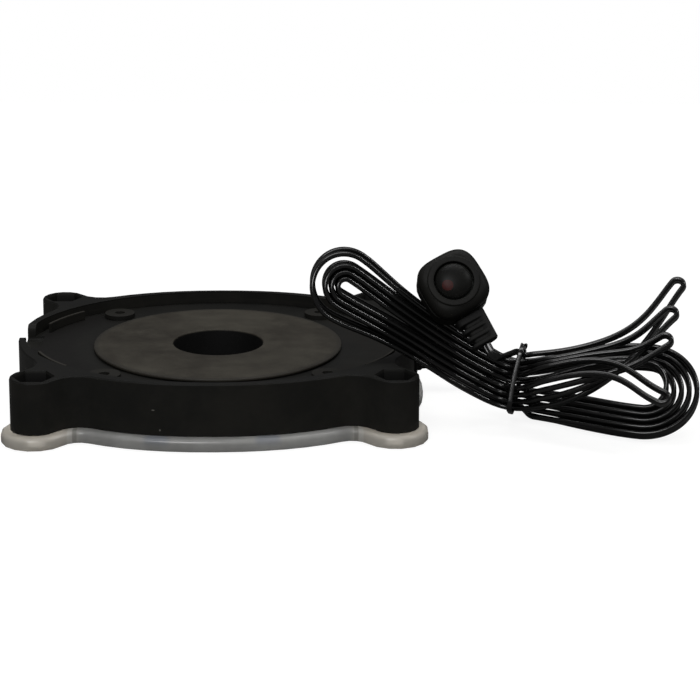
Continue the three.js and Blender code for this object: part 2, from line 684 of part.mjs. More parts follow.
// Middle line of the hank: place, direction and the two directions across it, at a distance u from the waist
const smooth = (x) => {
  const t = Math.min(1, Math.max(0, x));
  return t * t * (3 - 2 * t);
};
const innermost = turns / 2;
const outerRun = innerRun + (Math.floor(turns) / 2) * waistPitch;
const softStep = (u) => 1 / (1 + Math.exp(-u / bendLength));
const softRamp = (u) => bendLength * Math.log1p(Math.exp(u / bendLength));
function hankFrame(u) {
  const rise = radians(riseAngle);
  const drift = Math.tan(radians(yawAngle));
  const opening = smooth(u / rightLength);
  const tilt = radians(waistTilt + (endTilt - waistTilt) * opening);
  // The right half lies on the floor, on its lowest run
  const reach = outerRun + (rightRadius - outerRun - rightShift / 2) * opening + cordThickness / 2;
  const rest = floorGap + reach * Math.sin(tilt) + ((layerPitch + cordWidth) / 2) * Math.cos(tilt);
  const place = new THREE.Vector3(
    waistX + softRamp(u) - softRamp(-u) * Math.cos(rise), waistY + drift * softRamp(u),
    rest + softRamp(-u) * Math.sin(rise),
  );
  const along = new THREE.Vector3(
    softStep(u) + softStep(-u) * Math.cos(rise), drift * softStep(u), -softStep(-u) * Math.sin(rise),
  ).normalize();
  const across = new THREE.Vector3(0, Math.cos(tilt), Math.sin(tilt));
  across.addScaledVector(along, -across.dot(along)).normalize();
  return { place, along, across, out: along.clone().cross(across) };
}

// One turn in the hank's plane: lower run to the right, round end, upper run to the left, round end
const nestOf = (t) => Math.min(t, turns - t);
const layerOf = (t) => smooth((t - innermost) / climbTurns + 1 / 2) - 1 / 2;
const runOf = (t) => outerRun - nestOf(t) * waistPitch;
const foldOf = (t) => turns - 1 / 2 - Math.floor(Math.round(2 * t) / 2);
const leanOf = (t) => {
  // One way along the lower runs, the other way along the upper ones, and none at the waist or in a fold
  const fromLower = Math.abs(t - Math.round(t));
  const { u } = hankPoint(t);
  const right = foldOf(t) < foldCount ? 0 : rightLean * smooth((u - rightLeanStart) / leanReach);
  const left = leftLean * smooth((-u - leftLeanStart) / leanReach);
  return (left + right) * (1 - 2 * smooth((fromLower - 1 / 4) / leanTurnShare + 1 / 2));
};
function quarterTurn(share, run, reach, radius, lateness) {
  if (share < 1 / 2) {
    const x = share * 2;
    return [x * reach, run + (radius - run) * smooth(x ** lateness)];
  }
  const angle = (share * 2 - 1) * (Math.PI / 2);
  return [reach + radius * Math.sin(angle), radius * Math.cos(angle)];
}
function foldPoint(share, run, fold) {
  // A narrow fold: along the lower run, up to the tip, round it, and back to the upper run
  const angle = radians(foldAngles[fold]);
  const tip = new THREE.Vector2(...foldTips[fold]);
  const way = new THREE.Vector2(Math.cos(angle), Math.sin(angle));
  const side = new THREE.Vector2(Math.sin(angle), -Math.cos(angle));
  if (Math.abs(share - 1 / 2) < tipShare) {
    const round = ((share - 1 / 2) / tipShare) * (Math.PI / 2);
    const spot = tip.clone().addScaledVector(side, -foldRadius * Math.sin(round));
    return spot.addScaledVector(way, foldRadius * Math.cos(round)).toArray();
  }
  const lower = share < 1 / 2;
  const sign = lower ? -1 : 1;
  const leg = (lower ? share : 1 - share) / (1 / 2 - tipShare);
  if (leg < straightShare) return [(foldStraight * leg) / straightShare, sign * run];
  const end = tip.clone().addScaledVector(side, lower ? foldRadius : -foldRadius);
  return new THREE.CubicBezierCurve(
    new THREE.Vector2(foldStraight, sign * run), new THREE.Vector2(foldStraight + foldReach, sign * run),
    end.clone().addScaledVector(way, -foldBend), end,
  ).getPoint((leg - straightShare) / (1 - straightShare)).toArray();
}
function hankPoint(t) {
  const share = (((t % 1) + 1) % 1) * 4;
  const right = share < 2;
  const leaving = t > turns - 1 / 4; // the last strand stays outside and in front, on its way to the sensor
  const run = runOf(t) + (leaving ? leavingRise : 0);
  const nested = nestOf(t) * (right ? rightPitch : leftPitch);
  // The last turns end in folds on the right, each in a sheet of its own in front of the loops
  const fold = foldOf(t);
  const folded = fold < foldCount;
  let [u, v] = [0, 0];
  if (right && folded) {
    [u, v] = foldPoint(share / 2, run, fold);
  } else {
    const inQuarter = share % 2 < 1 ? share % 1 : 1 - (share % 1);
    const loose = leftLoose * smooth(3 / 2 - nestOf(t));
    const radius = (right ? rightRadius : leftRadius + loose) - nested;
    [u, v] = quarterTurn(inQuarter, run, right ? rightLength : leftLength, radius, right ? 1 : leftLateness);
    if (!right) u = -u;
    if (share < 1 || share >= 3) v = -v;
  }
  const eased = leaving ? 1 : smooth((u + foldEasing) / (foldStraight + foldEasing));
  const sheet = folded ? (fold + 1) * eased : 0;
  const shift = leftShift * smooth(-u / leanReach) + rightShift * smooth(u / rightLength);
  return { u, v: v - layerOf(t) * shift, layer: (layerOf(t) + sheet) * layerPitch };
}
const hankPlace = (t) => {
  const { u, v, layer } = hankPoint(t);
  const { place, across, out } = hankFrame(u);
  return place.addScaledVector(across, v).addScaledVector(out, layer);
};
function hankStation(t) {
  const step = 1 / (16 * stepsPerTurn);
  const along = hankPlace(t + step).sub(hankPlace(t - step)).normalize();
  const { out } = hankFrame(hankPoint(t).u);
  const wide = out.clone().addScaledVector(along, -out.dot(along)).normalize();
  wide.applyAxisAngle(along, radians(leanOf(t)));
  return { place: hankPlace(t), along, wide, thin: wide.clone().cross(along) };
}
const hankSteps = Math.round((endTurn - startTurn) * stepsPerTurn);
const hankStations = Array.from(
  { length: hankSteps + 1 }, (_, i) => hankStation(startTurn + ((endTurn - startTurn) * i) / hankSteps),
);
// The hank's ends run straight for a width of the cord
const straightOn = ({ place, along, thin, wide }, far) => (
  { place: place.clone().addScaledVector(along, far), along, thin, wide });
hankStations.unshift(straightOn(hankStations[0], -cordWidth));
hankStations.push(straightOn(hankStations.at(-1), cordWidth));
add("cord_hank", toGeometry(tube(hankStations, section(cordWidth, cordThickness, 6))), cordPlastic);

// Sensor, in its own frame: x across, y away from the cord, z out of its face
const sensorZAxis = new THREE.Vector3(...sensorFacing).normalize();
const sensorYAxis = new THREE.Vector3(...sensorDown).negate();
sensorYAxis.addScaledVector(sensorZAxis, -sensorYAxis.dot(sensorZAxis)).normalize();
const sensorXAxis = sensorYAxis.clone().cross(sensorZAxis);
const sensorPlace = new THREE.Matrix4().makeBasis(sensorXAxis, sensorYAxis, sensorZAxis)
  .setPosition(sensorX, sensorY, sensorZ);
const placed = (shape) => (shape.isBufferGeometry ? shape : toGeometry(shape)).applyMatrix4(sensorPlace);
const roundedBox = (halfX, halfY, radius, steps = 5) => corners.flatMap(([sx, sy], k) =>
  Array.from({ length: steps + 1 }, (_, i) => {
    const angle = Math.PI + ((k + i / steps) * Math.PI) / 2;
    return new THREE.Vector2(
      sx * (halfX - radius) + radius * Math.cos(angle), sy * (halfY - radius) + radius * Math.sin(angle),
    );
  }));
const shellRing = (inset, z) => {
  const half = sensorHalf - inset;
  return level(roundedBox(half, half, sensorCorner - inset), z);
};
const screwDiagonal = sensorScrewReach * Math.SQRT1_2;
const sensorScrews = [[-1, 1], [1, -1]].map(([sx, sy]) => [sx * screwDiagonal, sy * screwDiagonal]);
const easing = sensorRounding * (1 - Math.SQRT1_2);
const frontFoot = sensorSealThickness + 2 * clearance;
const plateBack = sensorFrontDepth - sensorWall;
const reliefMiddle = -sensorBackDepth / 2;

function makeSensorBack() {
  const shell = loft([
    shellRing(sensorRounding, -sensorBackDepth), shellRing(easing, easing - sensorBackDepth),
    shellRing(0, sensorRounding - sensorBackDepth), shellRing(0, 0),
  ]);
  const cavity = column(0, 0, cavityRadius, sensorWall - sensorBackDepth, overrun, 24);
  const ways = sensorScrews.flatMap(([x, y]) => [
    column(x, y, sensorScrewHead + clearance, -sensorBackDepth - overrun,
      sensorScrewHeadHeight + clearance - sensorBackDepth, 12),
    column(x, y, sensorScrewRadius + clearance, -sensorBackDepth, overrun, 8),
  ]);
  const neck = toSolid(new THREE.BoxGeometry(
    reliefNeckWidth + 2 * clearance, sensorHalf, reliefNeckDepth + 2 * clearance,
  ).translate(0, -sensorHalf, reliefMiddle));
  return cut(shell, cavity, ...ways, neck);
}
add("sensor_back", placed(makeSensorBack()), blackPlastic);

function makeSensorFront() {
  const rounds = [0, 1, 2, 3].map((i) => {
    const angle = (i * Math.PI) / 6;
    return shellRing(
      frontRounding * (1 - Math.cos(angle)), sensorFrontDepth - frontRounding * (1 - Math.sin(angle)),
    );
  });
  const shell = loft([shellRing(0, frontFoot), ...rounds]);
  const collarTop = sensorFrontDepth + ringStep;
  const collar = cone(0, 0, [
    [ringRadius, plateBack], [ringRadius, collarTop - ringStep / 2], [ringRadius - ringStep / 2, collarTop],
  ], 32);
  const room = column(0, 0, domeRoom, frontFoot - overrun, plateBack, 24);
  const hole = column(0, 0, domeRadius + domeGap, frontFoot, collarTop + overrun, 32);
  const pilots = sensorScrews.map(([x, y]) => column(
    x, y, sensorScrewRadius + clearance, frontFoot - overrun,
    sensorScrewLength - sensorBackDepth + sensorScrewHeadHeight + 2 * clearance, 8,
  ));
  return cut(shell.add(collar), room, hole, ...pilots);
}
add("sensor_front", placed(makeSensorFront()), blackPlastic);

function makeSensorSeal() {
  const ring = loft([shellRing(sensorSealInset, clearance), shellRing(sensorSealInset, frontFoot - clearance)]);
  const room = column(0, 0, domeRoom + clearance, -overrun, frontFoot, 24);
  const holes = sensorScrews.map(([x, y]) =>
    column(x, y, sensorScrewRadius + clearance, -overrun, frontFoot, 8));
  return cut(ring, room, ...holes);
}
add("sensor_seal", placed(makeSensorSeal()), blackRubber);

// A smoked dome that clips in behind the face; the cell stands under it, beside the middle
const domeFoot = sensorFrontDepth + ringStep - domeGap;
const domeBack = plateBack - clearance;
const domeArc = (radius, rise, steps) => Array.from({ length: steps + 1 }, (_, i) => {
  const angle = ((1 - i / steps) * Math.PI) / 2;
  return [radius * Math.sin(angle), domeFoot + rise * Math.cos(angle)];
});
add("sensor_dome", placed(revolve([
  ...domeArc(domeRadius - domeWall, domeRise - domeWall, 3).toReversed(),
  [domeRadius - domeWall, domeBack - domeWall], [domeRadius + domeFlange, domeBack - domeWall],
  [domeRadius + domeFlange, domeBack], [domeRadius, domeBack],
  ...domeArc(domeRadius, domeRise, 4),
], 24)), smokedPlastic);
const cellBoard = revolve([
  [0, clearance], [domeRoom - 2 * clearance, clearance], [domeRoom - 2 * clearance, clearance + domeWall],
  [0, clearance + domeWall],
], 20);
add("sensor_board", placed(cellBoard), greenBoard);
const cellFoot = 2 * clearance + domeWall;
add("photocell", placed(revolve([
  [0, cellFoot], [cellRadius, cellFoot], [cellRadius, cellFoot + cellHeight], [0, cellFoot + cellHeight],
], 16).translate(cellX, cellY, 0)), redCell);
sensorScrews.forEach(([x, y], i) => {
  const made = screw(sensorScrewHead, sensorScrewHeadHeight, sensorScrewRadius, sensorScrewLength);
  made.rotateX(Math.PI).translate(x, y, sensorScrewHeadHeight - sensorBackDepth);
  add("sensor_screw_" + (i + 1), placed(made), steel);
});

// Ribbed relief: an inner flange, a neck through the wall and a tapered outside with grooves
function makeRelief() {
  const station = (away, width, depth) =>
    roundedBox(width / 2, depth / 2, depth / 4, 2).map((p) => new THREE.Vector3(p.x, away, p.y + reliefMiddle));
  const outside = -sensorHalf - clearance;
  const inside = -Math.sqrt(cavityRadius ** 2 - (reliefNeckWidth / 2 + sensorWall) ** 2) + clearance;
  const wide = [reliefNeckWidth + sensorWall, reliefNeckDepth + sensorWall / 2];
  const rings = [
    station(inside + sensorWall / 2, ...wide), station(inside, ...wide),
    station(inside, reliefNeckWidth, reliefNeckDepth), station(outside, reliefNeckWidth, reliefNeckDepth),
  ];
  const size = (share) => {
    const scale = 1 + (reliefTipShare - 1) * share;
    return [reliefWidth * scale, reliefDepth * scale];
  };
  const grooved = (share) => size(share).map((length) => length - 2 * reliefGroove);
  rings.push(station(outside, ...size(0)));
  const pitch = 1 / (reliefRibs + 1 / 2);
  for (let i = 0; i < reliefRibs; i++) {
    const share = (i + 1 / 2) * pitch;
    const next = share + pitch / 2;
    rings.push(station(outside - reliefLength * share, ...size(share)));
    rings.push(station(outside - reliefLength * share, ...grooved(share)));
    rings.push(station(outside - reliefLength * next, ...grooved(next)));
    rings.push(station(outside - reliefLength * next, ...size(next)));
  }
  rings.push(station(outside - reliefLength, ...size(1)));
  return { shape: loft(rings), end: outside - reliefLength };
}
const relief = makeRelief();
add("sensor_relief", placed(relief.shape), blackRubber);

// Free stretches: flat tubes through the hand-chosen points, straight and square at both ends
function freeStretch(start, startWay, points, end, endWay, startWide, endWide) {
  const curve = new THREE.CatmullRomCurve3([
    start, start.clone().addScaledVector(startWay, cordWidth),
    ...points.map((p) => new THREE.Vector3(...p)),
    end.clone().addScaledVector(endWay, -cordWidth), end,
  ], false, "centripetal");
  const count = Math.round(curve.getLength() / cordStep);
  return Array.from({ length: count + 1 }, (_, i) => {
    const share = i / count;
    const along = share === 0 ? startWay : share === 1 ? endWay : curve.getTangentAt(share);
    const wide = startWide.clone().lerp(endWide, smooth(share));
    wide.addScaledVector(along, -wide.dot(along)).normalize();
    return { place: curve.getPointAt(share), along, wide, thin: wide.clone().cross(along) };
  });
}
const [hankStart, hankEnd] = [hankStations[0], hankStations.at(-1)];
const flatSection = section(cordWidth, cordThickness, cordSides);
const leadStations = freeStretch(
  new THREE.Vector3(wallOutside + glandLength + clearance, notchY, glandZ), new THREE.Vector3(1, 0, 0),
  leadPoints, straightOn(hankStart, -clearance).place, hankStart.along,
  new THREE.Vector3(0, 0, 1), hankStart.wide,
);
add("cord_lead", toGeometry(tube(leadStations, flatSection)), cordPlastic);
const reliefEnd = new THREE.Vector3(0, relief.end - clearance, reliefMiddle).applyMatrix4(sensorPlace);
const tailStations = freeStretch(
  straightOn(hankEnd, clearance).place, hankEnd.along, tailPoints, reliefEnd, sensorYAxis,
  hankEnd.wide, sensorXAxis,
);
add("cord_tail", toGeometry(tube(tailStations, flatSection)), cordPlastic);

// Tie round the waist: a strip that fits the strands inside it
function extentAt({ place, along, across, out }) {
  const low = new THREE.Vector2(Infinity, Infinity);
  const high = low.clone().negate();
  const fine = [...tailStations];
  for (let t = startTurn; t <= endTurn; t += 1 / (8 * stepsPerTurn)) fine.push(hankStation(t));
  for (const strand of fine) {
    for (const [st, sw] of corners) {
      const corner = strand.place.clone().sub(place)
        .addScaledVector(strand.thin, (st * cordThickness) / 2).addScaledVector(strand.wide, (sw * cordWidth) / 2);
      if (Math.abs(corner.dot(along)) > tieWidth) continue;
      const spot = new THREE.Vector2(corner.dot(across), corner.dot(out));
      low.min(spot);
      high.max(spot);
    }
  }
  return [low, high];
}
function makeTie() {
  const frame = hankFrame(tiePlace);
  const { place, along, across, out } = frame;
  const [low, high] = extentAt(frame);
  const middle = low.clone().add(high).divideScalar(2);
  const half = high.clone().sub(middle).addScalar(tieMargin);
  const strip = (grow, from, to) => loft([from, to].map((far) =>
    roundedBox(half.x + grow, half.y + grow, tieRounding + grow).map((p) =>
      place.clone().addScaledVector(across, p.x + middle.x).addScaledVector(out, p.y + middle.y)
        .addScaledVector(along, far))));
  const knot = new THREE.CylinderGeometry(tieKnot, tieKnot, tieWidth, 12).applyMatrix4(
    new THREE.Matrix4().makeBasis(out, along, across).setPosition(
      place.clone().addScaledVector(across, middle.x + half.x + tieThickness)
        .addScaledVector(out, middle.y)),
  );
  const hollow = strip(0, -tieWidth, tieWidth);
  return strip(tieThickness, -tieWidth / 2, tieWidth / 2).add(toSolid(knot)).subtract(hollow);
}
add("cord_tie", toGeometry(makeTie()), blackPlastic);

// Least gap of the hank to itself, measured on points between the stations
function leastGap() {
  const fine = [];
  for (let t = startTurn; t <= endTurn; t += 1 / (4 * stepsPerTurn)) fine.push(hankStation(t));
  let least = Infinity;
  let where = [];
  const near = 2 * stepsPerTurn;
  fine.forEach((a, i) => {
    for (let j = i + near; j < fine.length; j++) {
      const apart = fine[j].place.clone().sub(a.place);
      if (apart.length() > 3 * cordWidth) continue;
      const thin = Math.max(0, Math.abs(apart.dot(a.thin)) - cordThickness);
      const wide = Math.max(0, Math.abs(apart.dot(a.wide)) - cordWidth);
      const far = Math.max(0, Math.abs(apart.dot(a.along)) - cordThickness / 2);
      const gap = Math.hypot(thin, wide, far);
      if (gap < least) {
        least = gap;
        where = [startTurn + i / (4 * stepsPerTurn), startTurn + j / (4 * stepsPerTurn)];
      }
    }
  });
  return { least, where };
}
const { least, where } = leastGap();
const lowest = Math.min(...hankStations.map(({ place, thin, wide }) =>
  place.z - (Math.abs(thin.z) * cordThickness + Math.abs(wide.z) * cordWidth) / 2));
const lengthOf = (stations) =>
  stations.slice(1).reduce((sum, s, i) => sum + s.place.distanceTo(stations[i].place), 0);
console.log("least gap of the hank", least.toFixed(2), "at turns", where.map((t) => t.toFixed(2)).join(" and "));
console.log("lengths", [hankStations, leadStations, tailStations].map((s) => lengthOf(s).toFixed(0)).join(" "));
console.log("lowest point of the hank", lowest.toFixed(2));

export { hankStations, leadStations, tailStations };
export default group;
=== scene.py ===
import bmesh
import bpy
import numpy as np
from math import cos, pi, radians, sin, tan
from mathutils import Matrix


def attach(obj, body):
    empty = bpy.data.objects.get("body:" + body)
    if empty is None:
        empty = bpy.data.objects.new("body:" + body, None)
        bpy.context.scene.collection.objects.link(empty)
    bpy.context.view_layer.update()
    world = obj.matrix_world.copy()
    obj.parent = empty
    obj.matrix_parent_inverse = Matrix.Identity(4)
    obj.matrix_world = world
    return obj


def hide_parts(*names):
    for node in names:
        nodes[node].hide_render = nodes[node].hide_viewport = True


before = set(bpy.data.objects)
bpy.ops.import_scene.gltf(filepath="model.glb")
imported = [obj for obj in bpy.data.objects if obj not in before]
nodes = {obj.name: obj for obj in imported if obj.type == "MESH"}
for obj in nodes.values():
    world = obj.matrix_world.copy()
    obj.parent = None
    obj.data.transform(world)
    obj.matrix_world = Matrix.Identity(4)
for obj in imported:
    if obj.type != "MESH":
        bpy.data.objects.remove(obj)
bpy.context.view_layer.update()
mm = 0.001  # sizes and places are in millimetres, but for those of the studio
print("frame loaded:", len(nodes), "nodes")

# Camera, at the angle of the photograph

view = {
    "place": (15.93, -806.01, 265.97),
    "yaw": 0.0588, "pitch": 0.2942, "roll": 0.0131,
    "focal": 1747.8, "frameWidth": 700, "sensorWidth": 36, "near": 50, "far": 20000,
}


def placeCamera(spec):
    # Looks along the yaw and pitch, then turns by the roll about that line.
    yaw, pitch, roll = spec["yaw"], spec["pitch"], spec["roll"]
    ahead = np.array([sin(yaw) * cos(pitch), cos(yaw) * cos(pitch), -sin(pitch)])
    level = np.array([cos(yaw), -sin(yaw), 0])
    above = np.cross(level, ahead)
    right = cos(roll) * level + sin(roll) * above
    up = cos(roll) * above - sin(roll) * level
    data = bpy.data.cameras.new("camera")
    data.sensor_width = spec["sensorWidth"]
    data.lens = spec["focal"] * spec["sensorWidth"] / spec["frameWidth"]
    data.clip_start, data.clip_end = spec["near"] * mm, spec["far"] * mm
    camera = bpy.data.objects.new("camera", data)
    bpy.context.scene.collection.objects.link(camera)
    turn = Matrix(np.column_stack([right, up, -ahead]).tolist())
    camera.matrix_world = Matrix.Translation([v * mm for v in spec["place"]]) @ turn.to_4x4()
    bpy.context.scene.camera = camera


placeCamera(view)


# Small helpers for shapes

def unit(v):
    return v / np.linalg.norm(v, axis=-1, keepdims=True)


def squared(v, along):
    # The part of v that is square to along, made one unit long.
    return unit(v - along * np.sum(v * along, axis=-1, keepdims=True))


def smooth(x):
    # 0 up to 0, 1 from 1 on, and 3x^2 - 2x^3 in between.
    t = np.clip(x, 0, 1)
    return t * t * (3 - 2 * t)


merging = {"gap": 0.001, "solidGap": 0.005, "flatAngle": 0.4}  # how close doubles are, how flat a joint is


def addMesh(name, points, faces, replaced, uv=None, sharp=32):
    # A piece from points in millimetres and faces of their numbers, in place of the CAD nodes in replaced:
    # doubles merged, normals outwards, smooth but for edges sharper than sharp degrees.
    mesh = bpy.data.meshes.new(name)
    spots = np.asarray(points).reshape(-1, 3) * mm
    mesh.from_pydata(spots.tolist(), [], [list(map(int, f)) for f in faces])
    if uv is not None:
        layer = mesh.uv_layers.new(name="UVMap")
        loops = np.zeros(len(mesh.loops), dtype=np.int32)
        mesh.loops.foreach_get("vertex_index", loops)
        layer.data.foreach_set("uv", np.asarray(uv).reshape(-1, 2)[loops].astype(np.float32).ravel())
    mesh.validate()
    piece = bpy.data.objects.new(name, mesh)
    bpy.context.scene.collection.objects.link(piece)
    tidy = bmesh.new()
    tidy.from_mesh(mesh)
    bmesh.ops.remove_doubles(tidy, verts=tidy.verts, dist=merging["gap"] * mm)
    bmesh.ops.recalc_face_normals(tidy, faces=tidy.faces)
    tidy.to_mesh(mesh)
    tidy.free()
    mesh.shade_smooth()
    mesh.set_sharp_from_angle(angle=radians(sharp))
    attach(piece, "root")
    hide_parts(*replaced)
    return piece


def gridFaces(rows, columns, closed=False):
    # Quads between neighbouring rows, whose columns close on themselves. When closed, the last row also
    # meets the first.
    r = np.arange(rows if closed else rows - 1)[:, None]
    c = np.arange(columns)[None, :]
    below, right = (r + 1) % rows, (c + 1) % columns
    quads = [r * columns + c, r * columns + right, below * columns + right, below * columns + c]
    return np.stack(quads, axis=-1).reshape(-1, 4)


def capped(grid):
    # Faces of a tube of rings, with one face across each end.
    rows, columns = grid.shape[:2]
    faces = gridFaces(rows, columns).tolist()
    faces.append(list(range(columns))[::-1])
    faces.append([(rows - 1) * columns + i for i in range(columns)])
    return faces


def roundedLine(points, radius, steps=4):
    # The line through the points, with a parabola in place of each inner corner.
    p = np.asarray(points, float)
    t = np.linspace(0, 1, steps + 1)[:, None]
    parts = [p[:1]]
    for before, corner, after in zip(p[:-2], p[1:-1], p[2:]):
        back, on = before - corner, after - corner
        start = corner + unit(back) * min(radius, np.linalg.norm(back) / 2)
        end = corner + unit(on) * min(radius, np.linalg.norm(on) / 2)
        parts.append((1 - t) ** 2 * start + 2 * (1 - t) * t * corner + t ** 2 * end)
    return np.vstack([*parts, p[-1:]])


def turned(profile, count):
    # A profile of (radius, height) points turned about the z axis: rings of count points.
    angle = np.linspace(0, 2 * pi, count, endpoint=False)
    p = np.asarray(profile, float)[:, :, None]
    radius, height = p[:, 0], p[:, 1]
    return np.stack([radius * np.cos(angle), radius * np.sin(angle), height + 0 * angle], axis=-1)


def squircle(angle, half, power):
    # Distance from the middle to a square with soft corners: |x|^power + |y|^power = half^power.
    return half / (np.abs(np.cos(angle)) ** power + np.abs(np.sin(angle)) ** power) ** (1 / power)


# Cord: gland to hank, the hank, and on to the sensor

cord = {
    "width": 4.5, "thickness": 2.25, "webShare": 0.74, "lobeAngle": 118, "lobeSteps": 9, "sharp": 60,
    "stepsPerTurn": 192, "freeStep": 0.5, "curveSteps": 60,
    "start": (118.95, 6.5, 13.6),
    "leadPoints": [
        (127.5, 3.5, 11.8), (132, -5, 9), (136, -15, 6.4), (140, -25, 4.2), (143, -34, 2.8),
        (145, -41.5, 2.05),
    ],
    "tailPoints": [(137.4, -45.4, 33.8), (132.6, -50.6, 34.2), (127.4, -56.2, 34.8)],
}
hank = {
    "turns": 8.5, "climbTurns": 0.22, "startTurn": 0.05, "missingTurns": 1 / 24, "slopeTurns": 1 / 384,
    "waistPitch": 2.93, "leftPitch": 3, "rightPitch": 3.2, "layerPitch": 5.4, "innerRun": 1,
    "leftShift": 2.1, "rightShift": -1.6, "leftLean": 16, "rightLean": -24, "leanTurn": 0.2,
    "leftLeanStart": 14, "rightLeanStart": 14, "leanReach": 26,
    "waistX": 132.5, "waistY": -38, "floorGap": 0.85,
    "leftLength": 88, "leftRadius": 15, "leftLateness": 3, "leftLoose": 3.4,
    "rightLength": 61.5, "rightRadius": 22.5, "bendLength": 5,
    "rise": 33, "yaw": -20.5, "waistTilt": 68, "endTilt": 47,
    "foldCount": 4, "foldRadius": 2.7, "foldStraight": 22, "foldEasing": 2, "leavingRise": 1.2,
    "foldTips": [(69.5, 47.5), (69, 30), (69, 14), (72, -16)], "foldAngles": [62, 52, 42, -20],
    "foldReach": 34, "foldBend": 16, "tipShare": 1 / 12, "straightShare": 1 / 4,
}
sensor = {
    "place": (107.2, -42.6, 64.2), "facing": (-0.05, -0.84, 0.54), "down": (0.53, -0.55, -0.8),
    "half": 14.5, "backDepth": 9, "frontDepth": 8, "wall": 1.6, "frontRounding": 4,
    "domeRadius": 8.3, "domeRise": 3.2, "domeGap": 0.7, "ringRadius": 11.8, "ringStep": 0.9,
    "seal": 1, "clearance": 0.3,
    "reliefLength": 15, "reliefWidth": 14.6, "reliefDepth": 8.6, "reliefTipShare": 0.88,
}

outerRun = hank["innerRun"] + int(hank["turns"]) / 2 * hank["waistPitch"]


def hankFrame(u):
    # Middle line of the hank at a distance u from the waist: it lies on the floor to the right of the
    # waist and rises to the left, and the plane of its loops leans less towards the right end.
    rise, drift = radians(hank["rise"]), tan(radians(hank["yaw"]))
    bend = hank["bendLength"]
    ramp = lambda x: bend * np.log1p(np.exp(x / bend))
    step = 1 / (1 + np.exp(-u / bend))
    opening = smooth(u / hank["rightLength"])
    tilt = np.radians(hank["waistTilt"] + (hank["endTilt"] - hank["waistTilt"]) * opening)
    widening = hank["rightRadius"] - outerRun - hank["rightShift"] / 2
    reach = outerRun + widening * opening + cord["thickness"] / 2
    rest = hank["floorGap"] + reach * np.sin(tilt) + (hank["layerPitch"] + cord["width"]) / 2 * np.cos(tilt)
    place = np.stack([
        hank["waistX"] + ramp(u) - ramp(-u) * cos(rise),
        hank["waistY"] + drift * ramp(u),
        rest + ramp(-u) * sin(rise),
    ], axis=-1)
    along = unit(np.stack([step + (1 - step) * cos(rise), drift * step, -(1 - step) * sin(rise)], axis=-1))
    across = squared(np.stack([np.zeros_like(tilt), np.cos(tilt), np.sin(tilt)], axis=-1), along)
    return place, along, across, np.cross(along, across)


def quarterTurn(share, run, reach, radius, lateness):
    # Half of the steps widen from the run to the radius, the other half go round a quarter circle.
    x = np.clip(share * 2, 0, 1)
    angle = np.clip(share * 2 - 1, 0, 1) * pi / 2
    straight = share < 0.5
    across = np.where(straight, run + (radius - run) * smooth(x ** lateness), radius * np.cos(angle))
    return np.where(straight, x * reach, reach + radius * np.sin(angle)), across


def foldPoint(share, run, fold):
    # Along the lower run, up a cubic curve to the tip, round it in a half circle, and back the same way.
    angle = radians(hank["foldAngles"][fold])
    tip = np.array(hank["foldTips"][fold], float)
    way, side = np.array([cos(angle), sin(angle)]), np.array([sin(angle), -cos(angle)])
    tipShare, straightShare = hank["tipShare"], hank["straightShare"]
    turn = np.clip((share - 0.5) / tipShare, -1, 1) * pi / 2
    tipPlace = tip + hank["foldRadius"] * (way * np.cos(turn)[:, None] - side * np.sin(turn)[:, None])
    lower = share < 0.5
    sign = np.where(lower, -1, 1)
    leg = np.where(lower, share, 1 - share) / (0.5 - tipShare)
    first = np.stack([np.full_like(run, hank["foldStraight"]), sign * run], axis=-1)
    second = first + np.array([hank["foldReach"], 0])
    end = tip + side * (np.where(lower, 1, -1) * hank["foldRadius"])[:, None]
    third = end - way * hank["foldBend"]
    t = np.clip((leg - straightShare) / (1 - straightShare), 0, 1)[:, None]
    curve = (1 - t) ** 3 * first + 3 * (1 - t) ** 2 * t * second
    curve = curve + 3 * (1 - t) * t ** 2 * third + t ** 3 * end
    strand = np.stack([hank["foldStraight"] * leg / straightShare, sign * run], axis=-1)
    place = np.where((leg < straightShare)[:, None], strand, curve)
    return np.where((np.abs(share - 0.5) < tipShare)[:, None], tipPlace, place)


def foldOf(t):
    # The number of the turn's fold, counted from the last turn back. Turns past the last fold are round.
    return (hank["turns"] - 0.5 - np.floor(np.floor(2 * t + 0.5) / 2)).astype(int)


def hankPoint(t):
    # Each turn is a lower run to the right, a round end or a fold, an upper run to the left and a round
    # end. The turns spiral in to the middle one and out again, a layer further forward.
    turns = hank["turns"]
    share = (t % 1) * 4
    right = share < 2
    nest = np.minimum(t, turns - t)
    leaving = t > turns - 0.25  # the last strand stays outside and in front
    run = outerRun - nest * hank["waistPitch"] + leaving * hank["leavingRise"]
    nested = nest * np.where(right, hank["rightPitch"], hank["leftPitch"])
    loose = hank["leftLoose"] * smooth(1.5 - nest)
    radius = np.where(right, hank["rightRadius"], hank["leftRadius"] + loose) - nested
    inQuarter = np.where(share % 2 < 1, share % 1, 1 - share % 1)
    reach = np.where(right, hank["rightLength"], hank["leftLength"])
    u, v = quarterTurn(inQuarter, run, reach, radius, np.where(right, 1, hank["leftLateness"]))
    u = np.where(right, u, -u)
    v = np.where((share < 1) | (share >= 3), -v, v)
    fold = foldOf(t)
    folded = fold < hank["foldCount"]
    for k in range(hank["foldCount"]):
        chosen = right & folded & (fold == k)
        u[chosen], v[chosen] = foldPoint(share[chosen] / 2, run[chosen], k).T
    easing = hank["foldEasing"]
    eased = np.where(leaving, 1, smooth((u + easing) / (hank["foldStraight"] + easing)))
    layer = smooth((t - turns / 2) / hank["climbTurns"] + 0.5) - 0.5
    shift = hank["leftShift"] * smooth(-u / hank["leanReach"])
    shift = shift + hank["rightShift"] * smooth(u / hank["rightLength"])
    return u, v - layer * shift, (layer + folded * (fold + 1) * eased) * hank["layerPitch"]


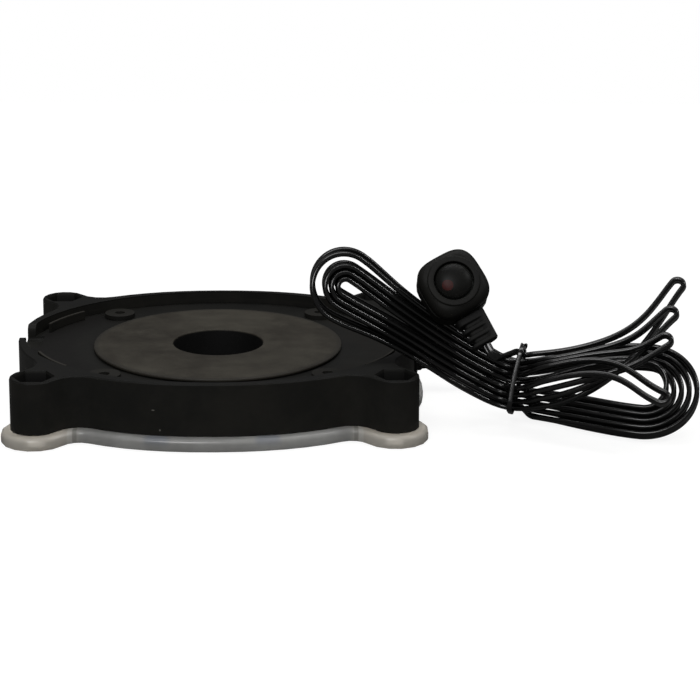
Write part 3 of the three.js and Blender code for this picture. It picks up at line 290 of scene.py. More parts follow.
def hankPlace(t):
    # The point at t turns, from the hank's own directions to the light's.
    u, v, layer = hankPoint(t)
    place, along, across, out = hankFrame(u)
    return place + across * v[:, None] + out * layer[:, None]


def hankRoute(t):
    # The flat cord leans in its runs, one way in the left half and the other in the right one, and turns
    # over round the ends.
    near = hank["slopeTurns"]
    along = unit(hankPlace(t + near) - hankPlace(t - near))
    u = hankPoint(t)[0]
    wide = squared(hankFrame(u)[3], along)
    left = hank["leftLean"] * smooth((-u - hank["leftLeanStart"]) / hank["leanReach"])
    right = hank["rightLean"] * smooth((u - hank["rightLeanStart"]) / hank["leanReach"])
    right = right * (foldOf(t) >= hank["foldCount"])
    fromLower = np.abs(t - np.round(t))
    lean = np.radians(left + right) * (1 - 2 * smooth((fromLower - 0.25) / hank["leanTurn"] + 0.5))
    return hankPlace(t), along, wide * np.cos(lean)[:, None] + np.cross(along, wide) * np.sin(lean)[:, None]


def freeRoute(points, startWide, endWide, startWay, endWay):
    # A centripetal Catmull-Rom curve through the points, sampled at even distances. The width turns
    # smoothly from the first direction to the last.
    p = np.array(points, float)
    p = np.vstack([2 * p[0] - p[1], p, 2 * p[-1] - p[-2]])
    knots = np.concatenate([[0], np.cumsum(np.linalg.norm(np.diff(p, axis=0), axis=1) ** 0.5)])
    pieces = []
    for i in range(1, len(p) - 2):
        t = np.linspace(knots[i], knots[i + 1], cord["curveSteps"], endpoint=i == len(p) - 3)[:, None]
        mix = lambda a, b, ta, tb: ((tb - t) * a + (t - ta) * b) / (tb - ta)
        k0, k1, k2, k3 = knots[i - 1:i + 3]
        a1, a2 = mix(p[i - 1], p[i], k0, k1), mix(p[i], p[i + 1], k1, k2)
        a3 = mix(p[i + 1], p[i + 2], k2, k3)
        pieces.append(mix(mix(a1, a2, k0, k2), mix(a2, a3, k1, k3), k1, k2))
    fine = np.vstack(pieces)
    gone = np.concatenate([[0], np.cumsum(np.linalg.norm(np.diff(fine, axis=0), axis=1))])
    count = int(gone[-1] / cord["freeStep"])
    even = np.linspace(0, gone[-1], count + 1)
    place = np.column_stack([np.interp(even, gone, fine[:, k]) for k in range(3)])
    along = np.gradient(place, axis=0)
    along[0], along[-1] = startWay, endWay
    along = unit(along)
    share = smooth(even / gone[-1])[:, None]
    wide = np.array(startWide) * (1 - share) + np.array(endWide) * share
    return place, along, squared(wide, along)


# The sensor's own directions: x across, y away from the cord, z out of its face
sensorOut = unit(np.array(sensor["facing"], float))
sensorUp = squared(-np.array(sensor["down"], float), sensorOut)
sensorAcross = np.cross(sensorUp, sensorOut)


def atSensor(points):
    # From the sensor's own directions to the light's.
    x, y, z = (np.asarray(points, float)[..., k:k + 1] for k in range(3))
    return np.array(sensor["place"]) + x * sensorAcross + y * sensorUp + z * sensorOut


endTurn = hank["turns"] - hank["missingTurns"]
hankLine = hankRoute(np.linspace(hank["startTurn"], endTurn, int(endTurn * cord["stepsPerTurn"]) + 1))
hankStart = hankLine[0][0] - hankLine[1][0] * cord["width"]
hankEnd = hankLine[0][-1] + hankLine[1][-1] * cord["width"]
cordStart = np.array(cord["start"])
reliefMiddle = -sensor["backDepth"] / 2
reliefEnd = atSensor([0, -sensor["half"] - 2 * sensor["clearance"] - sensor["reliefLength"], reliefMiddle])
# Each free stretch leaves and arrives straight, for one width of the cord
leadPoints = [
    cordStart, cordStart + [cord["width"], 0, 0], *cord["leadPoints"],
    hankStart - hankLine[1][0] * cord["width"], hankStart,
]
leadLine = freeRoute(leadPoints, (0, 0, 1), hankLine[2][0], (1, 0, 0), hankLine[1][0])
tailPoints = [
    hankEnd, hankEnd + hankLine[1][-1] * cord["width"], *cord["tailPoints"],
    reliefEnd - sensorUp * cord["width"], reliefEnd,
]
tailLine = freeRoute(tailPoints, hankLine[2][-1], sensorAcross, hankLine[1][-1], sensorUp)
cordLine = [np.vstack([leadLine[k], hankLine[k], tailLine[k]]) for k in range(3)]


def cordSection():
    # Two round lobes side by side with a shallow groove between them, as points (thickness, width).
    radius = cord["thickness"] / 2
    apart = cord["width"] / 2 - radius
    angle = np.radians(np.linspace(-cord["lobeAngle"], cord["lobeAngle"], cord["lobeSteps"]))
    lobe = np.column_stack([radius * np.sin(angle), apart + radius * np.cos(angle)])
    web = radius * cord["webShare"]
    return np.vstack([lobe, [[web, 0]], lobe[::-1] * [1, -1], [[-web, 0]]])


def sweep(line, section):
    # The section carried along the line, its width kept along the line's own width direction.
    place, along, wide = line
    thin = np.cross(wide, along)
    return place[:, None] + thin[:, None] * section[None, :, :1] + wide[:, None] * section[None, :, 1:]


def makeCord():
    # The section swept along the whole line, with the distance from the gland in its UV map.
    section = cordSection()
    grid = sweep(cordLine, section)
    gone = np.concatenate([[0], np.cumsum(np.linalg.norm(np.diff(cordLine[0], axis=0), axis=1))])
    around = np.arange(len(section)) / len(section)
    uv = np.stack(np.broadcast_arrays(around[None, :], gone[:, None] * mm), axis=-1)
    solids = ["cord_lead", "cord_hank", "cord_tail"]
    made = addMesh("flat_cord", grid, capped(grid), solids, uv, cord["sharp"])
    [tuple(p) for p in cordLine[0] * mm]
    print("cord:", round(float(gone[-1])), "mm")
    return made


# Sensor: face, dome and ribbed relief

face = {
    "columns": 144, "archRows": 13, "squareness": 3.3,
    "foot": [(0.3, 0), (0.05, 0.12), (0, 0.4)],  # how far in and how far up
    "collarGap": 0.35, "collarFillet": 0.05, "collarDraft": 0.1, "collarRounding": 0.45,
}


def makeSensorFace():
    # Rings of a soft square rise from the joint and round over into the face by a quarter circle. There
    # they turn into circles: the raised collar round the dome.
    angle = np.linspace(0, 2 * pi, face["columns"], endpoint=False)
    arch = np.radians(np.linspace(0, 90, face["archRows"]))
    depth, rounding = sensor["frontDepth"], sensor["frontRounding"]
    joint = sensor["seal"] + 2 * sensor["clearance"]
    inward, upward = np.array([(sensor["wall"], 0), *face["foot"]]).T
    sizes = sensor["half"] - np.concatenate([inward, rounding * (1 - np.cos(arch))])
    heights = np.concatenate([joint + upward, depth - rounding * (1 - np.sin(arch))])
    ring, top = sensor["ringRadius"], depth + sensor["ringStep"]
    hole = sensor["domeRadius"] + sensor["domeGap"]
    outside = ring + face["collarGap"]
    body = np.maximum(squircle(angle[None, :], sizes[:, None], face["squareness"]), outside)
    fillet = face["collarFillet"]
    collar = roundedLine([
        (outside, depth), (ring + fillet, depth + fillet), (ring - face["collarDraft"], top),
        (hole, top), (hole, depth - sensor["wall"]),
    ], face["collarRounding"])
    radius = np.vstack([body, np.repeat(collar[:, :1], len(angle), axis=1)])
    height = np.concatenate([heights, collar[:, 1]])
    grid = np.stack([radius * np.cos(angle), radius * np.sin(angle), height[:, None] + 0 * radius], axis=-1)
    faces = gridFaces(*grid.shape[:2], closed=True)
    return addMesh("sensor_face", atSensor(grid), faces, ["sensor_front"])


dome = {"columns": 96, "arcRows": 24}


def makeDome():
    # The smoked dome's skin: an ellipse's arc over a short wall that goes down behind the collar.
    foot = sensor["frontDepth"] + sensor["ringStep"] - sensor["domeGap"]
    arc = np.radians(np.linspace(90, 0, dome["arcRows"]))
    profile = np.column_stack([sensor["domeRadius"] * np.sin(arc), foot + sensor["domeRise"] * np.cos(arc)])
    profile = np.vstack([[sensor["domeRadius"], sensor["frontDepth"] - sensor["wall"]], profile])
    grid = turned(profile, dome["columns"])
    faces = gridFaces(*grid.shape[:2])
    return addMesh("smoked_dome", atSensor(grid), faces, ["sensor_dome"])


relief = {
    "rows": 90, "columns": 96, "bow": 0.5, "sharp": 50,
    "slotShares": [0.3, 0.56, 0.82], "slotHalfShare": 0.062, "slotSoftShare": 0.05, "slotDepthShare": 0.34,
    "wholeEdge": 0.7, "wholeSoft": 0.25, "lip": 0.5, "lipShare": 0.12,
}


def makeRelief():
    # A soft rectangle, (cos^bow, sin^bow), that tapers away from the sensor with its two ends rounded by a
    # quarter circle. Slots cross its faces and one edge, and leave the other edge whole.
    share = np.linspace(0, 1, relief["rows"])[:, None]
    angle = np.linspace(0, 2 * pi, relief["columns"], endpoint=False)[None, :]
    bowed = lambda v: np.sign(v) * np.abs(v) ** relief["bow"]
    x, z = bowed(np.cos(angle)), bowed(np.sin(angle))
    fromEnd = np.minimum(np.minimum(share, 1 - share) * sensor["reliefLength"] / relief["lip"], 1)
    rounded = 1 - np.sqrt(np.clip(1 - (1 - fromEnd) ** 2, 0, 1))
    scale = (1 + (sensor["reliefTipShare"] - 1) * share) * (1 - relief["lipShare"] * rounded)
    slot = 0
    for place in relief["slotShares"]:
        inside = relief["slotHalfShare"] - np.abs(share - place)
        slot = slot + smooth(inside / relief["slotSoftShare"] + 0.5)
    crossed = smooth((relief["wholeEdge"] - x) / relief["wholeSoft"])
    scale = scale * (1 - relief["slotDepthShare"] * slot * crossed)
    away = -sensor["half"] - sensor["clearance"] - share * sensor["reliefLength"] + 0 * x
    across, deep = x * scale * sensor["reliefWidth"] / 2, z * scale * sensor["reliefDepth"] / 2
    points = atSensor(np.stack([across, away, reliefMiddle + deep], axis=-1))
    return addMesh(
        "sensor_strain_relief", points, capped(points), ["sensor_relief"],
        sharp=relief["sharp"],
    )


# Tie round the waist

tie = {
    "place": 6, "width": 2.3, "thickness": 1.1, "corner": 4.4, "cornerStep": 6, "steps": 220, "columns": 20,
    "bow": 0.5, "sway": 0.3, "sways": 3, "knot": 1.6, "knotRows": 26, "knotShare": 0.72, "knotLiftShare": 0.4,
    "knotLengthShare": 1.5, "lobeShare": 0.28, "twist": 7, "endPower": 6,
}


def makeTie():
    # A thin strap along a rounded rectangle, as wide and high as the solid tie, that sways a little. Its
    # two ends are twisted together on top: a round stub whose two lobes turn as it goes.
    origin, along, across, out = (v[0] for v in hankFrame(np.array([float(tie["place"])])))
    mesh = nodes["cord_tie"].data
    flat = np.zeros(len(mesh.vertices) * 3)
    mesh.vertices.foreach_get("co", flat)
    apart = flat.reshape(-1, 3) / mm - origin
    spots = np.column_stack([apart @ across, apart @ out])
    low, high = spots.min(axis=0), spots.max(axis=0) - [tie["knot"], 0]
    middle, half = (low + high) / 2, (high - low) / 2 - tie["thickness"] / 2
    angle = np.radians(np.arange(0, 361, tie["cornerStep"]))
    way = np.column_stack([np.cos(angle), np.sin(angle)])
    loop = np.sign(np.round(way, 6)) * (half - tie["corner"]) + way * tie["corner"]
    gone = np.concatenate([[0], np.cumsum(np.linalg.norm(np.diff(loop, axis=0), axis=1))])
    even = np.linspace(0, gone[-1], tie["steps"], endpoint=False)
    loop = np.column_stack([np.interp(even, gone, loop[:, k]) for k in range(2)])
    onward = unit(np.roll(loop, -1, axis=0) - np.roll(loop, 1, axis=0))
    outward = np.column_stack([onward[:, 1], -onward[:, 0]])
    turn = np.linspace(0, 2 * pi, tie["columns"], endpoint=False)
    bowed = lambda v: np.sign(v) * np.abs(v) ** tie["bow"]
    thick, wide = bowed(np.cos(turn)) * tie["thickness"] / 2, bowed(np.sin(turn)) * tie["width"] / 2
    sway = tie["sway"] * np.sin(2 * pi * tie["sways"] * np.arange(tie["steps"]) / tie["steps"])
    flatPlace = middle + loop[:, None] + outward[:, None] * thick[None, :, None]
    side = wide[None, :] + sway[:, None]
    strap = origin + flatPlace[..., :1] * across + flatPlace[..., 1:] * out + side[..., None] * along
    share = np.linspace(0, 1, tie["knotRows"])[:, None]
    ends = np.sqrt(np.clip(1 - (2 * share - 1) ** tie["endPower"], 0, 1))
    lobes = 1 + tie["lobeShare"] * np.cos(2 * turn[None, :] + tie["twist"] * share)
    radius = tie["knot"] * tie["knotShare"] * ends * lobes
    spot = origin + (high[0] + tie["knot"] * tie["knotLiftShare"]) * across + middle[1] * out
    knot = spot + (radius * np.cos(turn))[..., None] * across + (radius * np.sin(turn))[..., None] * out
    knot = knot + ((share - 0.5) * tie["width"] * tie["knotLengthShare"])[..., None] * along
    strapFaces = gridFaces(*strap.shape[:2], closed=True)
    faces = np.vstack([strapFaces, gridFaces(*knot.shape[:2]) + strap[..., 0].size])
    points = np.vstack([strap.reshape(-1, 3), knot.reshape(-1, 3)])
    return addMesh("twisted_tie", points, faces, ["cord_tie"])


# Gland, centre cover and diodes

gland = {
    "inside": 84.06, "wallInside": 85.56, "wallOutside": 94.95, "collarEnd": 96.45, "end": 118.65,
    "collar": 6.8, "neck": 4.6, "tip": 3.4, "rounding": 0.4, "rows": 70, "columns": 64,
    "grooves": 3, "grooveDepth": 0.7, "grooveHalfShare": 0.12, "grooveSoftShare": 0.14,
}


def makeGland():
    # Collars on both sides of the wall and a tapering boot with three soft grooves, turned about the cord.
    g = gland
    share = np.linspace(0, 1, g["rows"])
    fromGroove = np.abs(share * g["grooves"] % 1 - 0.5)
    depth = g["grooveDepth"] * (1 - smooth((fromGroove - g["grooveHalfShare"]) / g["grooveSoftShare"]))
    radius = g["neck"] + (g["tip"] - g["neck"]) * share - depth
    boot = np.column_stack([radius, g["collarEnd"] + (g["end"] - g["collarEnd"]) * share])
    body = roundedLine([
        (0, g["inside"]), (g["collar"], g["inside"]), (g["collar"], g["wallInside"]),
        (g["neck"], g["wallInside"]), (g["neck"], g["wallOutside"]), (g["collar"], g["wallOutside"]),
        (g["collar"], g["collarEnd"]), tuple(boot[0]), tuple(boot[1]),
    ], g["rounding"])
    tip = roundedLine([tuple(boot[-2]), (g["tip"], g["end"]), (0, g["end"])], g["rounding"])
    grid = turned(np.vstack([body[:-1], boot[1:-1], tip[1:]]), g["columns"])
    y, z = cord["start"][1] + grid[..., 1], cord["start"][2] + grid[..., 0]
    points = np.stack([grid[..., 2], y, z], axis=-1)
    return addMesh("gland_boot", points, gridFaces(*grid.shape[:2]), ["cord_gland"])


cover = {
    "hole": 21.45, "sleeve": 23.45, "radius": 59.2, "bandShare": 0.6,
    "foot": 6.1, "under": 24.2, "top": 25.7, "rounding": 0.8, "columns": 192,
}


def makeCover():
    # The thin disc and the sleeve down its middle as one turned profile, with a soft edge at the hole.
    c = cover
    middle = (c["hole"] + c["sleeve"]) / 2
    profile = roundedLine([
        (middle, c["foot"]), (c["sleeve"], c["foot"]), (c["sleeve"], c["under"]), (c["radius"], c["under"]),
        (c["radius"], c["top"]), (c["radius"] * c["bandShare"], c["top"]), (c["hole"], c["top"]),
        (c["hole"], c["foot"]), (middle, c["foot"]),
    ], c["rounding"])
    grid = turned(profile, c["columns"])
    return addMesh("cover_disc", grid, gridFaces(*grid.shape[:2]), ["centre_cover"])


diodes = {
    "count": 24, "circle": 45, "top": 14.3, "radius": 2.5, "body": 3.2, "rim": 2.9, "rimHeight": 1,
    "rounding": 0.2, "roundingSteps": 2, "ballRows": 10, "columns": 24,
}


def makeDiodes():
    # One diode is a turned profile, a rim, a wall and a half ball; the ring of them points down.
    d = diodes
    shoulder = d["rimHeight"] + d["body"]
    straight = roundedLine([
        (0, 0), (d["rim"], 0), (d["rim"], d["rimHeight"]),
        (d["radius"], d["rimHeight"]), (d["radius"], shoulder),
    ], d["rounding"], d["roundingSteps"])
    arc = np.radians(np.linspace(90, 0, d["ballRows"]))
    ball = np.column_stack([d["radius"] * np.sin(arc), shoulder + d["radius"] * np.cos(arc)])
    one = turned(np.vstack([straight, ball[1:]]), d["columns"]) * [1, 1, -1]
    angle = 2 * pi * (np.arange(d["count"]) + 0.5) / d["count"]
    across = d["circle"] * np.column_stack([np.cos(angle), np.sin(angle)])
    places = np.column_stack([across, np.full(d["count"], d["top"])])
    points = places[:, None, None] + one
    faces = gridFaces(*one.shape[:2])[None] + (np.arange(d["count"]) * one[..., 0].size)[:, None, None]
    names = ["led_" + str(i + 1) for i in range(d["count"])]
    return addMesh("diode_ring", points, faces.reshape(-1, 4), names)


sensorFace = makeSensorFace()
smokedDome = makeDome()
strainRelief = makeRelief()
twistedTie = makeTie()
glandBoot = makeGland()
coverDisc = makeCover()
diodeRing = makeDiodes()
print("sensor, tie, gland, cover and diodes made")


# Housing, lens and sensor back: the CAD solids with their edges rounded

dressing = {"housing": 0.5, "lens": 0.3, "sensorBack": 0.3, "sharp": 28, "segments": 2}
flange = {"chamferFoot": 5.25, "top": 5.8, "reach": 0.02, "rounding": 2.1, "segments": 5}


def roundFlange(tidy):
    # Gives the flange's upper edge a wide rounding: its narrow chamfer is lifted away first.
    rim = {v for v in tidy.verts if abs(v.co.z - flange["chamferFoot"] * mm) < flange["reach"] * mm}
    for v in rim:
        v.co.z = flange["top"] * mm
    edges = [e for e in tidy.edges if e.verts[0] in rim and e.verts[1] in rim]
    flatten(tidy)
    edges = [e for e in edges if e.is_valid]
    bmesh.ops.bevel(
        tidy, geom=edges, offset=flange["rounding"] * mm, segments=flange["segments"], profile=0.5,
        affect="EDGES",
    )


def flatten(tidy):
    # Joins the loose triangles of flat faces.
    flat = radians(merging["flatAngle"])
    bmesh.ops.dissolve_limit(tidy, angle_limit=flat, verts=tidy.verts, edges=tidy.edges)


def dressed(node, name, edge, shape=None):
    # A merged copy of a solid, shaded smooth between its sharp edges, which are rounded off.
    mesh = nodes[node].data.copy()
    mesh.name = name
    tidy = bmesh.new()
    tidy.from_mesh(mesh)
    bmesh.ops.remove_doubles(tidy, verts=tidy.verts, dist=merging["solidGap"] * mm)
    if shape:
        shape(tidy)
    flatten(tidy)
    tidy.to_mesh(mesh)
    tidy.free()
    mesh.shade_smooth()
    mesh.set_sharp_from_angle(angle=radians(dressing["sharp"]))
    piece = bpy.data.objects.new(name, mesh)
    bpy.context.scene.collection.objects.link(piece)
    bevel = piece.modifiers.new("edges", "BEVEL")
    bevel.width, bevel.segments = edge * mm, dressing["segments"]
    bevel.limit_method, bevel.angle_limit = "ANGLE", radians(dressing["sharp"])
    bevel.harden_normals = True
    bevel.use_clamp_overlap = True
    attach(piece, "root")
    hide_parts(node)
    return piece


housing = dressed("back_housing", "housing_shell", dressing["housing"])
lens = dressed("lens", "clear_lens", dressing["lens"], roundFlange)
sensorBack = dressed("sensor_back", "sensor_back_shell", dressing["sensorBack"])
flatCord = makeCord()
print("housing, lens and sensor dressed, cord laid")


# How finishes are made

class Wire:
    # One socket of a material, with the sums that shader maths needs.
    def __init__(self, finish, socket):
        self.finish, self.socket = finish, socket

    def sum(self, operation, *values):
        return self.finish.node("ShaderNodeMath", {"operation": operation}, dict(enumerate(values)))

    def __add__(self, other):
        return self.sum("ADD", self, other)

    def __radd__(self, other):
        return self.sum("ADD", other, self)

    def __sub__(self, other):
        return self.sum("SUBTRACT", self, other)

    def __rsub__(self, other):
        return self.sum("SUBTRACT", other, self)

    def __mul__(self, other):
        return self.sum("MULTIPLY", self, other)

    def __rmul__(self, other):
        return self.sum("MULTIPLY", other, self)

    def __truediv__(self, other):
        return self.sum("DIVIDE", self, other)

    def __pow__(self, other):
        return self.sum("POWER", self, other)

    def over(self, edge):
        return self.sum("GREATER_THAN", self, edge)

    def high(self, other):
        return self.sum("MAXIMUM", self, other)

    def wave(self):
        return self.sum("SINE", self)

    def size(self):
        return self.sum("ABSOLUTE", self)

    def between(self, start, end):
        # 0 before start, 1 after end, smooth in between
        settings = {"interpolation_type": "SMOOTHSTEP"}
        return self.finish.node("ShaderNodeMapRange", settings, {0: self, 1: start, 2: end})

    def past(self, stretch):
        # The same for a place on the piece and a stretch in millimetres
        return self.between(stretch[0] * mm, stretch[1] * mm)


class Finish:
    # A material: constants go on the shader's own sockets, varying values through node().
    def __init__(self, name, **constants):
        self.material = bpy.data.materials.new(name)
        self.material.use_nodes = True
        self.tree = self.material.node_tree
        self.shader = self.tree.nodes["Principled BSDF"]
        for label, value in constants.items():
            self.set(label, value)

    def set(self, label, value):
        # Names a socket of the shader in camelCase, as baseColor
        words = "".join(" " + c if c.isupper() else c for c in label).strip().title().replace("Ior", "IOR")
        socket = self.shader.inputs[words]
        if isinstance(value, Wire):
            self.tree.links.new(value.socket, socket)
        elif isinstance(value, tuple):
            socket.default_value = (*value, 1)
        else:
            socket.default_value = value

    def node(self, kind, settings=None, inputs=None, output=0):
        # Any node: its settings first, then the values or links of its sockets
        made = self.tree.nodes.new(kind)
        for label, value in (settings or {}).items():
            setattr(made, label, value)
        for label, value in (inputs or {}).items():
            socket = made.inputs[label]
            if isinstance(value, Wire):
                self.tree.links.new(value.socket, socket)
            elif socket.type == "RGBA":
                socket.default_value = (*value, 1)
            else:
                socket.default_value = value
        return Wire(self, made.outputs[output])

    def place(self):
        return self.node("ShaderNodeTexCoord", output="Object")

    def axes(self):
        place = self.place()
        return [self.node("ShaderNodeSeparateXYZ", None, {0: place}, k) for k in range(3)]

    def noise(self, scale, detail=3, roughness=0.5, stretch=None):
        vector = self.place()
        if stretch:
            vector = self.node("ShaderNodeMapping", None, {"Vector": vector, "Scale": stretch})
        inputs = {"Vector": vector, "Scale": scale, "Detail": detail, "Roughness": roughness}
        return self.node("ShaderNodeTexNoise", None, inputs)

    def mix(self, factor, first, second):
        return self.node("ShaderNodeMix", {"data_type": "RGBA"}, {0: factor, 6: first, 7: second}, 2)

    def spot(self, across, middle, size):
        # 1 in the middle of an ellipse over two coordinates, 0 outside it; middle and size in millimetres
        first, second = ((a - m * mm) / (r * mm) for a, m, r in zip(across, middle, size))
        return 1 - (first * first + second * second).between(0.2, 1)

    def bump(self, height, distance):
        inputs = {"Height": height, "Distance": distance * mm, "Strength": 1}
        self.set("normal", self.node("ShaderNodeBump", None, inputs))

    def on(self, *pieces):
        for piece in pieces:
            piece.data.materials.clear()
            piece.data.materials.append(self.material)


def tone(red, green, blue):
    # A colour as a screen shows it, 0 to 255, turned into the linear one that a shader takes.
    linear = lambda v: v / 12.92 if v <= 0.04045 else ((v + 0.055) / 1.055) ** 2.4
    return tuple(linear(v / 255) for v in (red, green, blue))


# Finishes of this light

bossPlace = (80, 66.7)
moulding = {  # heights and distances over which a tone comes in or goes out
    "inside": (91, 78), "ribOval": (87.6, 73.6), "disc": (60, 72), "shadeSlope": 0.2, "shade": (36, 56),
    "sideways": (-40, 60), "floorRise": (23.2, 23.7), "floorFall": (24.2, 24.7),
    "postRise": (25.8, 26.1), "postFall": (26.4, 26.7), "ribRise": (27.9, 28.2), "ribFall": (29, 29.2),
    "rimRise": (29.4, 29.7), "sensorRise": (40, 41), "pocket": (9.8, 9.8), "pocketFall": (28.4, 29.7),
    "longLint": ((-27.3, 17.7), (0.9, 0.4)), "shortLint": ((-24.4, 8.6), (0.5, 0.6)), "front": (-30, -20),
}


def mouldedBlack():
    # Satin black moulding. Colour: charcoal clouds; painted shade in the recess at the disc and the rims,
    # painted light on the open floor and the tops of posts and ribs, painted shade on the rim's top and in
    # the pockets; pale dust and two specks of lint. Height: fine grain and drag marks.
    m = moulding
    made = Finish("moulded black", roughness=0.5, specularIorLevel=0.14)
    x, y, z = made.axes()
    grain = made.noise(2600, 4, 0.6)
    drag = made.noise(90, 4, 0.6, stretch=(1, 1, 0.12))
    cloud = made.noise(38, 5, 0.65)
    base = made.mix(cloud.between(0.35, 0.7), tone(24, 24, 22), tone(33, 32, 29))

    radius = (x * x + y * y) ** 0.5
    within = made.spot((x, y), (0, 0), m["inside"]).over(0.001)
    recess = within * z.past(m["floorRise"]) * (1 - z.past(m["floorFall"]))
    long, wide = (half * mm for half in m["ribOval"])
    ribs = (x / long) ** 2 + (y / wide) ** 2  # 1 along the outer faces of the ribs
    # Painted shade in the recess: this mask is 0 near the disc's edge, towards the front and back rims and
    # along the recess's edge outside the ribs.
    unshadedFloor = radius.past(m["disc"]) * (1 - (y.size() - m["shadeSlope"] * x.size()).past(m["shade"]))
    unshadedFloor = unshadedFloor * (1 - ribs.between(0.99, 1.02))
    # Painted light: the unshaded floor runs from darker on the left to lighter on the right.
    floorTone = made.mix(x.past(m["sideways"]), tone(16, 15, 14), tone(25, 24, 21))
    base = made.mix(recess * unshadedFloor * 0.9, base, floorTone)
    # The painted shade: near black where the recess floor is shaded.
    base = made.mix(recess * (1 - unshadedFloor) * 0.55, base, tone(12, 12, 11))
    # Painted light: the tops of the posts lighter, as lit.
    postTopLight = within * z.past(m["postRise"]) * (1 - z.past(m["postFall"]))
    base = made.mix(postTopLight * 0.9, base, tone(31, 30, 27))
    # Painted highlight: a lighter band along the tops of the ribs.
    ribTopHighlight = (1 - ribs.between(1.01, 1.03)) * z.past(m["ribRise"]) * (1 - z.past(m["ribFall"]))
    base = made.mix(ribTopHighlight * 0.8, base, tone(52, 50, 46))

    onSensor = z.past(m["sensorRise"])
    # Painted shade: the rim's top darker.
    base = made.mix(z.past(m["rimRise"]) * (1 - onSensor) * 0.75, base, tone(12, 12, 11))
    # Painted shade: near black down inside the pockets of the corner bosses.
    pocket = made.spot((x.size(), y.size()), bossPlace, m["pocket"]).over(0.01)
    base = made.mix(pocket * (1 - z.past(m["pocketFall"])) * 0.8, base, tone(9, 9, 9))
    base = made.mix(onSensor * 0.6, base, tone(14, 14, 13))

    dust = made.noise(420, 6, 0.75).between(0.66, 0.8) * cloud.between(0.4, 0.62) * 0.35
    lint = made.spot((x, z), *m["longLint"]).high(made.spot((x, z), *m["shortLint"]))
    base = made.mix(dust, base, tone(74, 72, 67))
    made.set("baseColor", made.mix(lint * (1 - y.past(m["front"])) * 0.35, base, tone(150, 148, 142)))
    made.set("roughness", 0.46 + drag * 0.2 + dust * 0.3)
    made.bump(grain * 0.6 + drag * 1.5, 0.05)
    return made


greyCover = {"rim": (55.5, 58.5), "hole": (21.7, 22.4), "topRise": (24.7, 25.5)}


def cloudyGrey():
    # The cover. Colour: brownish charcoal from three noises, darker at the rim; its hole painted black, as
    # shade, with a faint speckle. Height: wear and blotches.
    made = Finish("cloudy grey cover", roughness=0.6, specularIorLevel=0.2)
    x, y, z = made.axes()
    radius = (x * x + y * y) ** 0.5
    flow = made.noise(24, 6, 0.62).between(0.3, 0.72)
    blotch = made.noise(75, 5, 0.7)
    wear = made.noise(700, 5, 0.7)
    pale = flow * 0.55 + blotch.between(0.35, 0.75) * 0.35 + wear.between(0.55, 0.8) * 0.1
    base = made.mix(pale, tone(36, 32, 26), tone(69, 66, 58))
    base = made.mix(radius.past(greyCover["rim"]) * 0.7, base, tone(38, 36, 32))
    # Painted shade: the hole's wall near black, with a faint speckle.
    inside = (1 - radius.past(greyCover["hole"])) * (1 - z.past(greyCover["topRise"]))
    speck = made.noise(1800, 3, 0.7).between(0.62, 0.75)
    made.set("baseColor", made.mix(inside, base, made.mix(speck * 0.5, tone(9, 9, 9), tone(36, 34, 32))))
    made.set("roughness", 0.55 + pale * 0.15)
    made.bump(wear + blotch * 0.8, 0.04)
    return made


milkyLens = {
    "boss": (22, 22), "blue": (7, 12), "leftBlue": (-26, -83), "rightBlue": (23, -83), "blueRise": (1, 6),
    "refractionShadeLine": ((62.6, 75), (1.3, 30)), "refractionHighlightLine": ((64.6, 75), (1.4, 30)),
}


def clearLens():
    # Clear moulding, milky grey edge-on. Colour: clouds and upright streaks, a warm painted highlight at the
    # four bosses, two bluish patches at the front, and beside each boss a painted dark line and a painted
    # bright line where the clear plastic bends light. Height: the streaks.
    m = milkyLens
    made = Finish(
        "milky clear lens", roughness=0.22, transmissionWeight=0.45, ior=1.49, specularIorLevel=0.4,
    )
    x, y, z = made.axes()
    cloud = made.noise(30, 4, 0.6)
    streak = made.noise(60, 4, 0.6, stretch=(1, 1, 0.1))
    base = made.mix(cloud.between(0.3, 0.7) * 0.6 + streak * 0.4, tone(170, 170, 168), tone(214, 214, 211))
    corners = (x.size(), y.size())
    # Painted highlight: warm and light at the four bosses.
    base = made.mix(made.spot(corners, bossPlace, m["boss"]) * 0.75, base, tone(240, 231, 216))
    blue = made.spot((x, y), m["leftBlue"], m["blue"]).high(made.spot((x, y), m["rightBlue"], m["blue"]))
    base = made.mix(blue * z.past(m["blueRise"]) * 0.4, base, tone(120, 132, 160))
    # Painted refraction: a dark line and a bright line beside each boss.
    base = made.mix(made.spot(corners, *m["refractionShadeLine"]) * 0.35, base, tone(84, 86, 86))
    made.set("baseColor", made.mix(made.spot(corners, *m["refractionHighlightLine"]) * 0.4, base, tone(250, 250, 248)))
    made.set("roughness", 0.16 + cloud * 0.16)
    made.bump(streak + made.noise(900, 3) * 0.3, 0.04)
    return made


def glossyVinyl():
    # Black cord vinyl. Colour: two near blacks. Roughness and height: one slow wave of noise along it.
    made = Finish("black cord vinyl", roughness=0.2, specularIorLevel=0.5)
    wave = made.noise(140, 3, 0.5)
    cloud = made.noise(60, 4, 0.6).between(0.3, 0.7)
    made.set("baseColor", made.mix(cloud, tone(8, 8, 8), tone(13, 13, 13)))
    made.set("roughness", 0.18 + wave * 0.08)
    made.bump(wave, 0.03)
    return made


def rubber():
    # Matte black rubber. Colour: two clouded blacks; height: fine specks.
    made = Finish("black rubber", roughness=0.7, specularIorLevel=0.2)
    cloud = made.noise(60, 3)
    made.set("baseColor", made.mix(cloud.between(0.3, 0.7), tone(18, 18, 18), tone(27, 27, 26)))
    made.set("roughness", 0.6 + cloud * 0.2)
    made.bump(made.noise(1500, 4, 0.65), 0.05)
    return made


